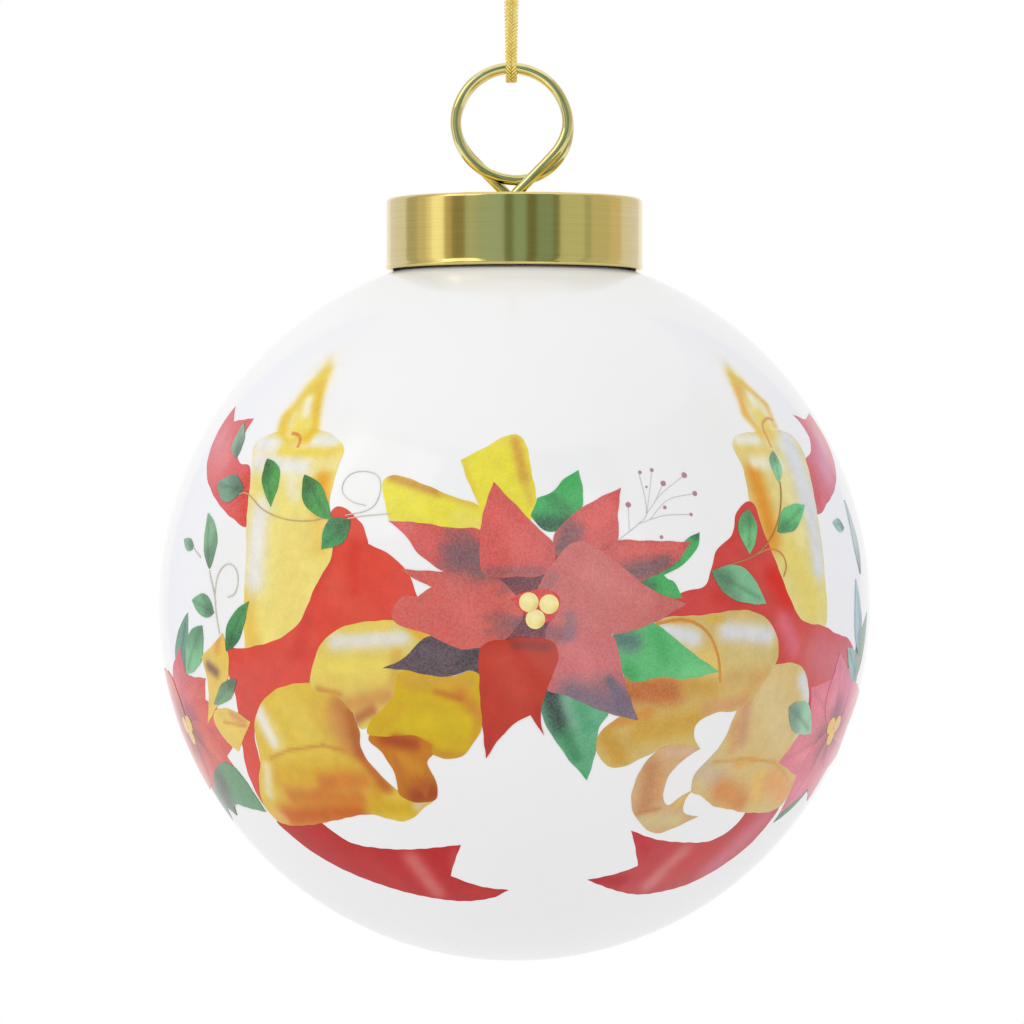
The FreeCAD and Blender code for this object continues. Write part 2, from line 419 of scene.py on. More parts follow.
def ink():
    """Water-colour print: tone and density from each film, with pigment grain and tooth."""
    s = Shader("ink")
    painted = s.node("ShaderNodeAttribute", {"attribute_name": "ink", "attribute_type": "GEOMETRY"})
    grain = s.noise(5200.0, 2.0)
    wash = s.noise(700.0, 5.0)
    fine = s.ramp(grain, [(0.3, 0.86), (0.6, 1.0)])
    broad = s.ramp(wash, [(0.3, 0.84), (0.7, 1.0)])
    toned = s.darken(painted.outputs["Color"], fine, 0.5)
    toned = s.darken(toned, broad, 0.7)
    bare = s.ramp(s.noise(60.0, 3.0), GLASS_TONES)
    tooth = s.node("ShaderNodeMath", {"operation": "MULTIPLY"})
    s.link(painted.outputs["Alpha"], tooth.inputs[0])
    s.link(s.ramp(s.noise(4200.0, 3.0), [(0.38, 0.935), (0.62, 1.0)]), tooth.inputs[1])
    density = s.node("ShaderNodeMix", {"data_type": "RGBA"})
    s.link(tooth.outputs[0], density.inputs["Factor"])
    s.link(bare, density.inputs["A"])
    s.link(toned, density.inputs["B"])
    s.to(density.outputs["Result"], "Base Color")
    s.set(Roughness=GLASS_ROUGHNESS, IOR=1.5, Specular_IOR_Level=0.3)
    return s.material


def brushed_brass():
    """Turned cap: very fine lines round the axis over a bright lacquered brass."""
    s = Shader("brushed_brass")
    lines = s.noise(1500.0, 2.0, stretch=(0.05, 0.05, 8.0))
    patch = s.noise(180.0, 3.0, stretch=(1.0, 1.0, 0.3))
    tone = s.ramp(lines, [(0.3, colour(228, 206, 128)), (0.7, colour(235, 215, 142))])
    s.to(s.darken(tone, s.ramp(patch, [(0.3, 0.95), (0.7, 1.0)]), 0.6), "Base Color")
    s.to(s.ramp(lines, [(0.3, 0.11), (0.75, 0.15)]), "Roughness")
    s.set(Metallic=1.0, Anisotropic=0.2)
    tangent = s.node("ShaderNodeTangent", {"direction_type": "RADIAL", "axis": "Z"})
    s.link(tangent.outputs[0], s.surface.inputs["Tangent"])
    s.bump(lines, 0.000003, 0.2)
    return s.material


def polished_brass():
    """Drawn wire, polished, with faint drawing marks and a slightly uneven tone."""
    s = Shader("polished_brass")
    tone = s.noise(500.0, 4.0)
    s.to(s.ramp(tone, [(0.3, colour(222, 208, 140)), (0.7, colour(236, 224, 164))]), "Base Color")
    s.to(s.ramp(s.noise(2500.0, 3.0), [(0.3, 0.07), (0.7, 0.12)]), "Roughness")
    s.set(Metallic=1.0)
    s.bump(s.noise(3000.0, 2.0), 0.000005, 0.15)
    return s.material


def gold_thread():
    """Metallised yarn: each strand a bright gold foil over thread."""
    s = Shader("gold_thread")
    tone = s.noise(2500.0, 4.0)
    s.to(s.ramp(tone, [(0.3, colour(244, 208, 92)), (0.7, colour(255, 242, 156))]), "Base Color")
    s.to(s.ramp(s.noise(5000.0, 3.0), [(0.3, 0.25), (0.7, 0.4)]), "Roughness")
    s.set(Metallic=0.4)
    s.bump(s.noise(9000.0, 2.0), 0.00001, 0.3)
    return s.material


def black_rubber():
    """Matte black foam rubber with a fine skin; its black also stands for the shade in the gap under the
    cap's rim, as painted shade.
    """
    s = Shader("black_rubber")
    pores = s.noise(4000.0, 5.0)
    s.to(s.ramp(pores, [(0.3, (0.012, 0.012, 0.012)), (0.7, (0.03, 0.03, 0.03))]), "Base Color")
    s.to(s.ramp(pores, [(0.3, 0.65), (0.7, 0.85)]), "Roughness")
    s.bump(pores, 0.00005, 0.5)
    return s.material


OPAL_GLASS = opal_glass()
INK = ink()
BRUSHED_BRASS = brushed_brass()
POLISHED_BRASS = polished_brass()
GOLD_THREAD = gold_thread()
# black of the collar under the cap: rubber, and painted shade of the gap under the rim
RUBBER_AND_GAP_SHADE = black_rubber()


# ======================================================================== cord, knot and tails
# From the knot down past the ring's top, under the ring's wire and up again: the CAD cord's line, with
# points added at the ring so that the flat braid lies round the wire.
CORD_ROUTE = [
    (0.223 * MM, -0.356 * MM, 3.9 * MM),
    (1.007 * MM, -1.611 * MM, 0.4 * MM),
    (0.18 * MM, -1.72 * MM, -38.0 * MM),
    (0.02 * MM, -1.63 * MM, -43.6 * MM),
    (0.0, -1.60 * MM, -45.4 * MM),
    (0.0, -0.70 * MM, -46.38 * MM),
    (0.0, 0.70 * MM, -46.38 * MM),
    (0.0, 1.60 * MM, -45.4 * MM),
    (-0.02 * MM, 1.63 * MM, -43.6 * MM),
    (-0.18 * MM, 1.72 * MM, -38.0 * MM),
    (-1.007 * MM, 1.611 * MM, 0.4 * MM),
    (-0.223 * MM, 0.356 * MM, 3.9 * MM),
]
CORD_ROUTE = [(x + RING_X, y, z) for x, y, z in CORD_ROUTE]
LOOP_TWIST = math.radians(32.0)
LOOP_DROP = 45.0 * MM
ROW_PITCH = 0.38 * MM        # one chevron of the braid
KNOT_BOTTOM, KNOT_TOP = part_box("cord_knot")[0][2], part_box("cord_knot")[1][2]
TAIL_LENGTH = 6.2 * MM

# Half a strand's way round the flat cord: share of the half width, share of the half thickness.
STRAND_WAY = [(0.0, 1.0), (0.25, 1.0), (0.5, 1.0), (0.75, 0.92), (0.92, 0.6), (1.0, 0.0),
              (0.92, -0.6), (0.75, -0.92), (0.5, -1.0), (0.25, -1.0), (0.0, -1.0)]
STRAND_SIDES = 6


def braid(name, points, across, width=CORD_WIDTH, thickness=CORD_THICKNESS):
    """A flat herringbone braid: rows of strands wrap each edge of the cord from face to face."""
    path = resample(points, ROW_PITCH)
    spine = [Vector(a) for a in across(path)]
    strand = 0.52 * ROW_PITCH
    half_w = (width - strand * 0.7) / 2
    half_t = (thickness - strand * 0.6) / 2
    climb = half_w / ROW_PITCH * 1.15      # rows between a strand's edge and its end at the middle
    vertices = []
    faces = []
    for row in range(1, len(path) - 1):
        for hand in (-1, 1):
            centre = []
            outs = []
            for share_w, share_t in STRAND_WAY:
                place = row + climb * (0.5 - share_w) + 0.25 * hand
                place = min(max(place, 0.0), len(path) - 1.001)
                low = int(place)
                tangent = (path[low + 1] - path[low]).normalized()
                side = (spine[low] - tangent * spine[low].dot(tangent)).normalized()
                out = tangent.cross(side)
                point = path[low].lerp(path[low + 1], place - low)
                centre.append(point + side * hand * half_w * share_w + out * half_t * share_t)
                outs.append(side * hand * share_w * 0.9 + out * share_t)
            start = len(vertices)
            for step, point in enumerate(centre):
                run = centre[min(step + 1, len(centre) - 1)] - centre[max(step - 1, 0)]
                run.normalize()
                out = (outs[step] - run * outs[step].dot(run)).normalized()
                flat = run.cross(out)
                fat = strand * (0.6 if step in (0, len(centre) - 1) else 1.0)
                for k in range(STRAND_SIDES):
                    angle = 2 * math.pi * k / STRAND_SIDES
                    around = flat * 0.62 * math.cos(angle) + out * 0.42 * math.sin(angle)
                    vertices.append(point + around * fat)
            for step in range(len(centre) - 1):
                for k in range(STRAND_SIDES):
                    n = (k + 1) % STRAND_SIDES
                    a = start + step * STRAND_SIDES
                    faces.append((a + k, a + n, a + STRAND_SIDES + n, a + STRAND_SIDES + k))
            faces.append(tuple(start + k for k in reversed(range(STRAND_SIDES))))
            faces.append(tuple(start + (len(centre) - 1) * STRAND_SIDES + k for k in range(STRAND_SIDES)))
    return new_piece(name, vertices, faces, GOLD_THREAD)


def loop_across(path):
    """Directions of the flat cord's width: across X at the ring, turned with the loop towards the top."""
    directions = []
    for point in path:
        share = min(max((point.z + LOOP_DROP) / LOOP_DROP, 0.0), 1.0)
        angle = LOOP_TWIST * share
        directions.append((math.cos(angle), math.sin(angle), 0.0))
    return directions


def make_cord():
    """The loop itself: the cord that hangs taut from the peg, with its knot and tails."""
    line = nurbs_points("cord_line", CORD_ROUTE, 48)
    piece = braid("cord_braid", line, loop_across)
    knot = make_knot()
    tails = make_tails()
    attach(piece, "cord_loop")
    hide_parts("cord")


def knot_across(path):
    """Width directions that stay square to the knot's own axis."""
    middle = Vector((RING_X, 0.0, (KNOT_BOTTOM + KNOT_TOP) / 2))
    return [(p - middle).cross(Vector((0.3, 0.2, 1.0))).normalized() for p in path]


def make_knot():
    """Overhand knot: the doubled cord crosses itself three times round its own middle."""
    centre = Vector((RING_X, 0.0, (KNOT_BOTTOM + KNOT_TOP) / 2))
    size = 0.56 * MM
    reach = (KNOT_TOP - KNOT_BOTTOM) / 2 - 0.25 * MM
    points = []
    for step in range(160):
        t = 2 * math.pi * step / 159
        points.append(centre + Vector((
            size * (math.sin(t) + 2 * math.sin(2 * t)),
            size * 0.85 * (math.cos(t) - 2 * math.cos(2 * t)),
            -reach * math.sin(3 * t),
        )))
    knot = braid("cord_knot_braid", points, knot_across, width=1.5 * MM, thickness=0.7 * MM)
    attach(knot, "cord_loop")
    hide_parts("cord_knot")
    return knot


def make_tails():
    """The two cut ends, fanned a little."""
    parts = []
    for side, lean in ((-1, 24.0), (1, 15.0)):
        angle = math.radians(lean)
        root = Vector((RING_X + side * 0.45 * MM, 0.15 * side * MM, KNOT_TOP - 0.8 * MM))
        direction = Vector((side * math.sin(angle), 0.0, math.cos(angle)))
        points = [root + direction * TAIL_LENGTH * k / 30 for k in range(31)]
        parts.append(braid("cord_tail_%s" % ("left" if side < 0 else "right"), points,
                           lambda path: [(0.9, 0.4, 0.0)] * len(path)))
    tails = join("cord_tails_braid", parts)
    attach(tails, "cord_loop")
    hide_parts("cord_tails")
    return tails


def join(name, parts):
    """Several mesh objects made into one."""
    merged = bmesh.new()
    for part in parts:
        merged.from_mesh(part.data)
    mesh = bpy.data.meshes.new(name)
    merged.to_mesh(mesh)
    merged.free()
    mesh.materials.append(parts[0].data.materials[0])
    for part in parts:
        bpy.data.objects.remove(part)
    piece = bpy.data.objects.new(name, mesh)
    scene.collection.objects.link(piece)
    return piece


make_cord()


# ======================================================================== hanger wire
def hanger_points():
    """The wire's line: up from one leg, one and a half turns round the ring, down the other leg."""
    corner_step = math.radians(40.0)
    reach = RING_RADIUS / math.cos(corner_step / 2)
    sides = [-0.58] * 6 + [-0.55, 0.55] + [0.58] * 6
    swell = [1.0, 1.0, 1.0, 1.0, 1.0, 0.98, 0.98, 1.03, 1.055, 1.01, 1.0, 1.0, 0.985, 0.985]
    turns = []
    for step, (side, grow) in enumerate(zip(sides, swell)):
        angle = math.radians(10.0) + corner_step * step
        out = reach * grow
        turns.append(Vector((out * math.cos(angle), side * MM, RING_Z + out * math.sin(angle))))
    leg_side = 0.8 * MM
    spread = 7.8 * MM
    slope = math.tan(math.radians(46.0))
    knee = Vector((5.6 * MM, 0.0, CAP_TOP + 5.6 * MM * slope))
    bend_z = CAP_TOP - spread * slope
    first = [
        Vector((-spread, -leg_side, WIRE_LOW[2])),
        Vector((-spread, -leg_side, bend_z)),
        Vector((-spread * 0.5, -leg_side, CAP_TOP - spread * 0.5 * slope)),
        Vector((knee.x * 0.5, -leg_side, CAP_TOP + knee.x * 0.5 * slope)),
        Vector((knee.x, -leg_side * 0.9, knee.z)),
    ]
    last = [Vector((-p.x, -p.y, p.z)) for p in reversed(first)]
    return [p + Vector((RING_X, 0.0, 0.0)) for p in first + turns + last]


def make_hanger():
    """Round wire swept along the line."""
    line = resample(nurbs_points("hanger_line", hanger_points(), 24), 0.18 * MM)
    section = circle_section(WIRE_RADIUS, 24)
    hanger = swept("hanger_ring", line, section, POLISHED_BRASS, (0.0, 1.0, 0.0))
    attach(hanger, "hanger")
    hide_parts("hanger_wire")


make_hanger()


# ======================================================================== cap and cushion
SLOT_LENGTH = 5.2 * MM
SLOT_WIDTH = 3.8 * MM
CAP_SEGMENTS = 240


def slot_outline(angle, grow):
    """The point of the slot's rounded outline in a direction, made a little larger by grow."""
    radius = SLOT_WIDTH / 2 + grow
    straight = (SLOT_LENGTH - SLOT_WIDTH) / 2
    c, s = math.cos(angle), math.sin(angle)
    x = radius * c + math.copysign(min(abs(c) * 3.0, 1.0) * straight, c)
    return (x, radius * s)


def make_cap():
    """Drawn cup: flat top with a slot, small rounded shoulder, straight wall and a rolled rim."""
    inside = CAP_RADIUS - CAP_WALL
    ceiling = CAP_TOP - CAP_WALL
    edge = 0.42 * MM
    well = 7.0 * MM             # the flat top is divided here, outside the slot
    rim_r = 0.30 * MM
    hem_drop = 0.22 * MM
    rim = (CAP_RADIUS - rim_r + 0.06 * MM, CAP_RIM - hem_drop + rim_r)
    profile = [(well, CAP_TOP), (12.0 * MM, CAP_TOP)]
    profile += arc_points((CAP_RADIUS - edge, CAP_TOP - edge), edge, 90, 0, 9)
    profile += [(CAP_RADIUS, z) for z in (CAP_TOP - 1.2 * MM, CAP_TOP - 3.5 * MM, CAP_RIM + 0.75 * MM)]
    profile += arc_points(rim, rim_r, 35, -180, 16)
    profile += [(inside, CAP_RIM + 1.0 * MM), (inside, ceiling - 0.2 * MM), (inside - 0.2 * MM, ceiling)]
    profile += [(well, ceiling)]
    vertices = []
    rows = []
    angles = [2 * math.pi * k / CAP_SEGMENTS for k in range(CAP_SEGMENTS)]
    for r, z in profile:
        rows.append(len(vertices))
        vertices += [(r * math.cos(angle), r * math.sin(angle), z) for angle in angles]
    lip = 0.08 * MM
    for grow, z in ((lip, ceiling), (0.0, ceiling + lip), (0.0, CAP_TOP - lip), (lip, CAP_TOP)):
        rows.append(len(vertices))
        vertices += [(*slot_outline(angle, grow), z) for angle in angles]
    faces = []
    for a, b in zip(rows, rows[1:] + rows[:1]):
        for k in range(CAP_SEGMENTS):
            n = (k + 1) % CAP_SEGMENTS
            faces.append((a + n, a + k, b + k, b + n))
    cap = new_piece("cap_cup", vertices, faces, BRUSHED_BRASS)
    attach(cap, "cap")
    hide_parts("cap")


def make_cushion_and_gap_shade():
    """Foam collar round the neck, black so that its lower edge gives the dark line of shade under the rim:
    painted shade.
    """
    inner, outer = 10.65 * MM, 13.0 * MM
    under = GLASS_RADIUS + 0.12 * MM
    chamfer = 0.95 * MM
    foot = [(r, BALL_Z + math.sqrt(under ** 2 - r ** 2))
            for r in np.linspace(inner + chamfer, outer - 0.1 * MM, 8)]
    profile = foot + [
        (outer, foot[-1][1] + 0.12 * MM),
        (outer, CUSHION_TOP - 0.3 * MM),
        (outer - 0.3 * MM, CUSHION_TOP),
        (inner + 0.2 * MM, CUSHION_TOP),
        (inner, CUSHION_TOP - 0.2 * MM),
        (inner, foot[0][1] + chamfer),
    ]
    cushion = lathe("cushion_and_gap_shade_collar", profile, 160, RUBBER_AND_GAP_SHADE)
    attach(cushion, "cushion")
    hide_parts("cushion_ring")


make_cap()
make_cushion_and_gap_shade()


# ======================================================================== glass ball
def make_ball():
    """Blown ball with a short fire-polished neck, its wall modelled inside and out."""
    shoulder = 0.8 * MM
    shoulder_r = NECK_RADIUS + shoulder
    shoulder_z = math.sqrt((GLASS_RADIUS + shoulder) ** 2 - shoulder_r ** 2)
    slope = math.degrees(math.atan2(shoulder_z, shoulder_r))
    lip = (NECK_RADIUS - NECK_BORE) / 2
    inside = GLASS_RADIUS - GLASS_WALL
    bore_slope = math.degrees(math.acos(NECK_BORE / inside))
    profile = [(0.0, -GLASS_RADIUS)]
    profile += arc_points((0.0, 0.0), GLASS_RADIUS, -89.3, slope, 150)
    profile += arc_points((shoulder_r, shoulder_z), shoulder, slope + 180, 180, 8)[1:]
    neck_top = NECK_TOP - BALL_Z
    profile += arc_points((NECK_BORE + lip, neck_top - lip), lip, 0, 180, 12)
    profile += arc_points((0.0, 0.0), inside, bore_slope, -88.0, 48)
    profile += [(0.0, -inside)]
    outline = [(r, z + BALL_Z) for r, z in profile]
    ball = lathe("ball_shell", outline, 240, OPAL_GLASS)
    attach(ball, "ball")
    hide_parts("glass_ball")


make_ball()


# ======================================================================== the print
# Places on the print are (longitude, latitude) in degrees on the glass, longitude 0 at the front.
# The outlines copy the photo's print. Most points were read off an unwrapped view of it; some, such as the
# candles' and flames', were turned into degrees by a scratch script. The ink tones were listed and then
# corrected against colours sampled from the photo.
LAYER_STEP = 0.007 * MM      # from one layer of film to the next
FILM_ROOT = 0.006 * MM       # how deep a film's underside lies in the glass
FEATHER = 0.001 * MM         # how high the bare edge of a feathered film stands
PITCH = 0.5                  # degrees between a film's points
TIP = True                   # marks a sharp point of an outline
WAVER = 0.05                 # how far a closed outline wavers, in degrees
BRUSH_EDGE = 2.3             # how firm the edge of an airbrush stroke is
THICK = 1.07                 # ink density that covers the tooth
THIN = 0.94                  # ink density that lets a little of the glass through

DEEP_RED = (186, 44, 46)
PLUM = (106, 58, 70)
VIOLET = (102, 84, 106)
LEAF = (66, 172, 92)
DARK_LEAF = (44, 84, 66)
PALE_LEAF = (128, 178, 132)
LEMON = (230, 218, 52)
RUST = (182, 92, 36)
PAPER = (234, 231, 224)
# paper white dimmed for the shade on the ball's right side: painted shade
SHADED_PAPER = (217, 218, 220)
MAUVE = (184, 130, 138)
TWIG = (204, 202, 204)
NO_INK = (244, 242, 238, 0.0)    # the fourth value is the density


def smooth_outline(points, closed=True):
    """A smooth curve through an outline's points, broken only where a point is marked as a TIP."""
    count = len(points)
    walk = []
    for k in range(count if closed else count - 1):
        ring = [points[(k + n - 1) % count] for n in range(4)]
        if not closed:
            ring[0] = points[max(k - 1, 0)]
            ring[3] = points[min(k + 2, count - 1)]
        before, a, b, after = (np.array(p[:2], float) for p in ring)
        chord = b - a
        reach = np.linalg.norm(chord)
        out_of_a = (b - before) * reach / max(np.linalg.norm(b - before), 1e-6)
        into_b = (after - a) * reach / max(np.linalg.norm(after - a), 1e-6)
        sharp_a, sharp_b = len(ring[1]) > 2, len(ring[2]) > 2
        if sharp_a and sharp_b:
            out_of_a = into_b = chord
        elif sharp_a:
            out_of_a = 1.5 * chord - 0.5 * into_b
        elif sharp_b:
            into_b = 1.5 * chord - 0.5 * out_of_a
        for t in np.arange(0.0, 1.0, 1.0 / max(2, math.ceil(reach / PITCH))):
            walk.append(a * (2 * t**3 - 3 * t**2 + 1) + b * (3 * t**2 - 2 * t**3)
                        + out_of_a * (t**3 - 2 * t**2 + t) + into_b * (t**3 - t**2))
    if not closed:
        walk.append(np.array(points[-1][:2], float))
        return np.array(walk)
    walk = np.array(walk)
    return walk + WAVER * np.column_stack([np.sin(2.1 * walk[:, 1]), np.sin(1.8 * walk[:, 0] + 0.5)])


def fan(lon, lat, start, end, count, reach, width, ink_colour, strength):
    """Thin strokes spreading from a root, between two directions in degrees, every other one shorter."""
    strokes = []
    for k, angle in enumerate(np.radians(np.linspace(start, end, count))):
        length = reach * (1.0 if k % 2 else 0.78)
        strokes.append((lon, lat, lon + length * math.cos(angle), lat + length * math.sin(angle), width,
                        ink_colour, strength))
    return strokes


def inside(outline, points):
    """Which points lie inside a closed outline."""
    result = np.zeros(len(points), bool)
    x, y = points[:, 0], points[:, 1]
    for (x0, y0), (x1, y1) in zip(outline, np.roll(outline, -1, axis=0)):
        crosses = (y0 > y) != (y1 > y)
        if crosses.any() and y0 != y1:
            result ^= crosses & (x < (x1 - x0) * (y - y0) / (y1 - y0) + x0)
    return result


def paint(points, base, strokes):
    """Colour and ink density at the points: a base tone with soft airbrush strokes over it, in order.

    A stroke is its start and end, width, colour and strength. It keeps the base's density, if there is any.
    """
    density = 255.0 * (base[3] if len(base) > 3 else 1.0)
    stroke_density = density or 255.0
    tone = np.tile(np.array([*base[:3], density], float), (len(points), 1))
    for x0, y0, x1, y1, width, ink_colour, strength in strokes:
        start, run = np.array([x0, y0], float), np.array([x1 - x0, y1 - y0], float)
        along = np.clip(((points - start) @ run) / max(run @ run, 1e-9), 0.0, 1.0)
        gap = np.linalg.norm(points - start - along[:, None] * run, axis=1)
        weight = (strength * np.exp(-((gap / width) ** BRUSH_EDGE)))[:, None]
        tone = tone * (1 - weight) + np.array([*ink_colour, stroke_density]) * weight
    tone /= 255
    linear = np.where(tone <= 0.04045, tone / 12.92, ((tone + 0.055) / 1.055) ** 2.4)
    linear[:, 3] = tone[:, 3]
    return linear


def on_glass(points, radius):
    """Places on the ball for (longitude, latitude) points."""
    lon, lat = np.radians(points[:, 0]), np.radians(points[:, 1])
    return np.column_stack([radius * np.cos(lat) * np.sin(lon), -radius * np.cos(lat) * np.cos(lon),
                            BALL_Z + radius * np.sin(lat)])


class Motif:
    """One joined piece of the print: closed films of ink, each on its own layer."""

    def __init__(self, name):
        self.name = name
        self.vertices = []
        self.faces = []
        self.tones = []

    def film(self, outline, layer, base, strokes=(), fill=True):
        """A film inside a finished outline, painted point by point."""
        count = len(outline)
        points = [Vector(p) for p in outline]
        if fill:
            low, high = outline.min(0), outline.max(0)
            rows = np.arange(low[1] + 0.3, high[1], PITCH * 0.9)
            grid = np.array([(x + (row % 2) * PITCH / 2, y) for row, y in enumerate(rows)
                             for x in np.arange(low[0] + 0.2, high[0], PITCH)])
            grid = grid[inside(outline, grid)]
            gap = np.min(np.linalg.norm(grid[:, None, :] - outline[None, :, :], axis=2), axis=1)
            points += [Vector(p) for p in grid[gap > 0.45 * PITCH]]
        edges = [(k, (k + 1) % count) for k in range(count)]
        flat, _, triangles, _, _, _ = delaunay_2d_cdt(points, edges, [], 1, 1e-5)
        flat = np.array([tuple(p) for p in flat])
        tones = paint(flat, base, strokes)
        self.tones += [tones, tones]
        first = sum(len(v) for v in self.vertices)
        total = len(flat)
        top = np.full(total, GLASS_RADIUS + LAYER_STEP * (layer + 1))
        if base == NO_INK:
            top[:count] = GLASS_RADIUS + FEATHER
        self.vertices.append(on_glass(flat, top))
        self.vertices.append(on_glass(flat, GLASS_RADIUS - FILM_ROOT))
        rim = {}
        for a, b, c in triangles:
            self.faces.append((first + a, first + b, first + c))
            self.faces.append((first + total + a, first + total + c, first + total + b))
            for edge in ((a, b), (b, c), (c, a)):
                if edge[::-1] in rim:
                    del rim[edge[::-1]]
                else:
                    rim[edge] = True
        for a, b in rim:
            self.faces.append((first + b, first + a, first + total + a, first + total + b))

    def patch(self, points, layer, base, *strokes):
        """A film with a smooth outline through a few points."""
        self.film(smooth_outline(points), layer, base, strokes)

    def line(self, points, layer, base, width=0.22):
        """A thin pen line through a few points."""
        walk = smooth_outline(points, closed=False)
        run = np.gradient(walk, axis=0)
        side = np.column_stack([-run[:, 1], run[:, 0]]) / np.linalg.norm(run, axis=1)[:, None] * width / 2
        self.film(np.vstack([walk + side, (walk - side)[::-1]]), layer, base, fill=False)

    def dot(self, lon, lat, radius, layer, base, *strokes):
        """A round berry."""
        turn = np.radians(np.arange(0, 360, 20 if radius < 1 else 12))
        round_outline = np.column_stack([lon + radius * np.cos(turn) / math.cos(math.radians(lat)),
                                         lat + radius * np.sin(turn)])
        self.film(round_outline, layer, base, strokes, fill=radius > 1)

    def leaf(self, root, tip, width, layer, base, shade=DARK_LEAF, bend=0.0):
        """A pointed leaf with its belly nearer the root, shaded along one side and down the middle."""
        root, tip = np.array(root, float), np.array(tip, float)
        run = tip - root
        side = np.array([-run[1], run[0]]) / np.linalg.norm(run) * width / 2
        arch = side * bend
        sides = []
        for sign in (1, -1):
            sides.append([tuple(root + run * t + side * sign * w + arch * (1 - (2 * t - 1) ** 2))
                          for t, w in ((0.14, 0.55), (0.4, 1.0), (0.7, 0.72))])
        outline = [(*root, TIP)] + sides[0] + [(*tip, TIP)] + sides[1][::-1]
        middle = root + run * 0.5 + arch
        edge = middle - side * 0.8
        self.patch(outline, layer, base,
                   (*root, *(root + run * 0.25), width * 0.35, shade, 0.65),
                   (*(root + run * 0.2 - side * 0.7), *edge, width * 0.22, shade, 0.4),
                   (*(root + run * 0.1), *(root + run * 0.85 + arch * 0.5), width * 0.07, shade, 0.45))

    def petal(self, root, tip, width, layer, base):
        """A broad pointed bract, dark where it leaves the flower's middle, with faint veins."""
        root, tip = np.array(root, float), np.array(tip, float)
        run = tip - root
        side = np.array([-run[1], run[0]]) / np.linalg.norm(run) * width / 2
        left = [tuple(root + run * t + side * w)
                for t, w in ((0.1, 0.45), (0.35, 0.95), (0.6, 0.9), (0.8, 0.45))]
        right = [tuple(root + run * t - side * w)
                 for t, w in ((0.1, 0.5), (0.4, 1.0), (0.65, 0.8), (0.82, 0.4))]
        light = tuple(min(255, c + 22) for c in base)
        self.patch([(*root, TIP)] + left + [(*tip, TIP)] + right[::-1], layer, base,
                   (*root, *(root + run * 0.22), width * 0.28, PLUM, 0.55),
                   (*(root + run * 0.45 + side * 0.4), *(root + run * 0.7), width * 0.16, light, 0.5),
                   (*(root + run * 0.15), *(root + run * 0.9), width * 0.05, PLUM, 0.14))

    def finish(self):
        """The two prints of the motif, front and back."""
        mesh = bpy.data.meshes.new(self.name)
        mesh.from_pydata(np.vstack(self.vertices).tolist(), [], self.faces)
        tones = mesh.color_attributes.new("ink", "FLOAT_COLOR", "POINT")
        tones.data.foreach_set("color", np.vstack(self.tones).ravel())
        mesh.materials.append(INK)
        mesh.shade_smooth()
        mesh.set_sharp_from_angle(angle=math.radians(40))
        for side, turn in (("front", 0.0), ("back", math.pi)):
            copy = mesh.copy()
            copy.transform(Matrix.Rotation(turn, 4, "Z"))
            piece = bpy.data.objects.new("print_%s_%s" % (self.name, side), copy)
            scene.collection.objects.link(piece)
            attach(piece, "ball")
            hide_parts("printed_band")
        bpy.data.meshes.remove(mesh)


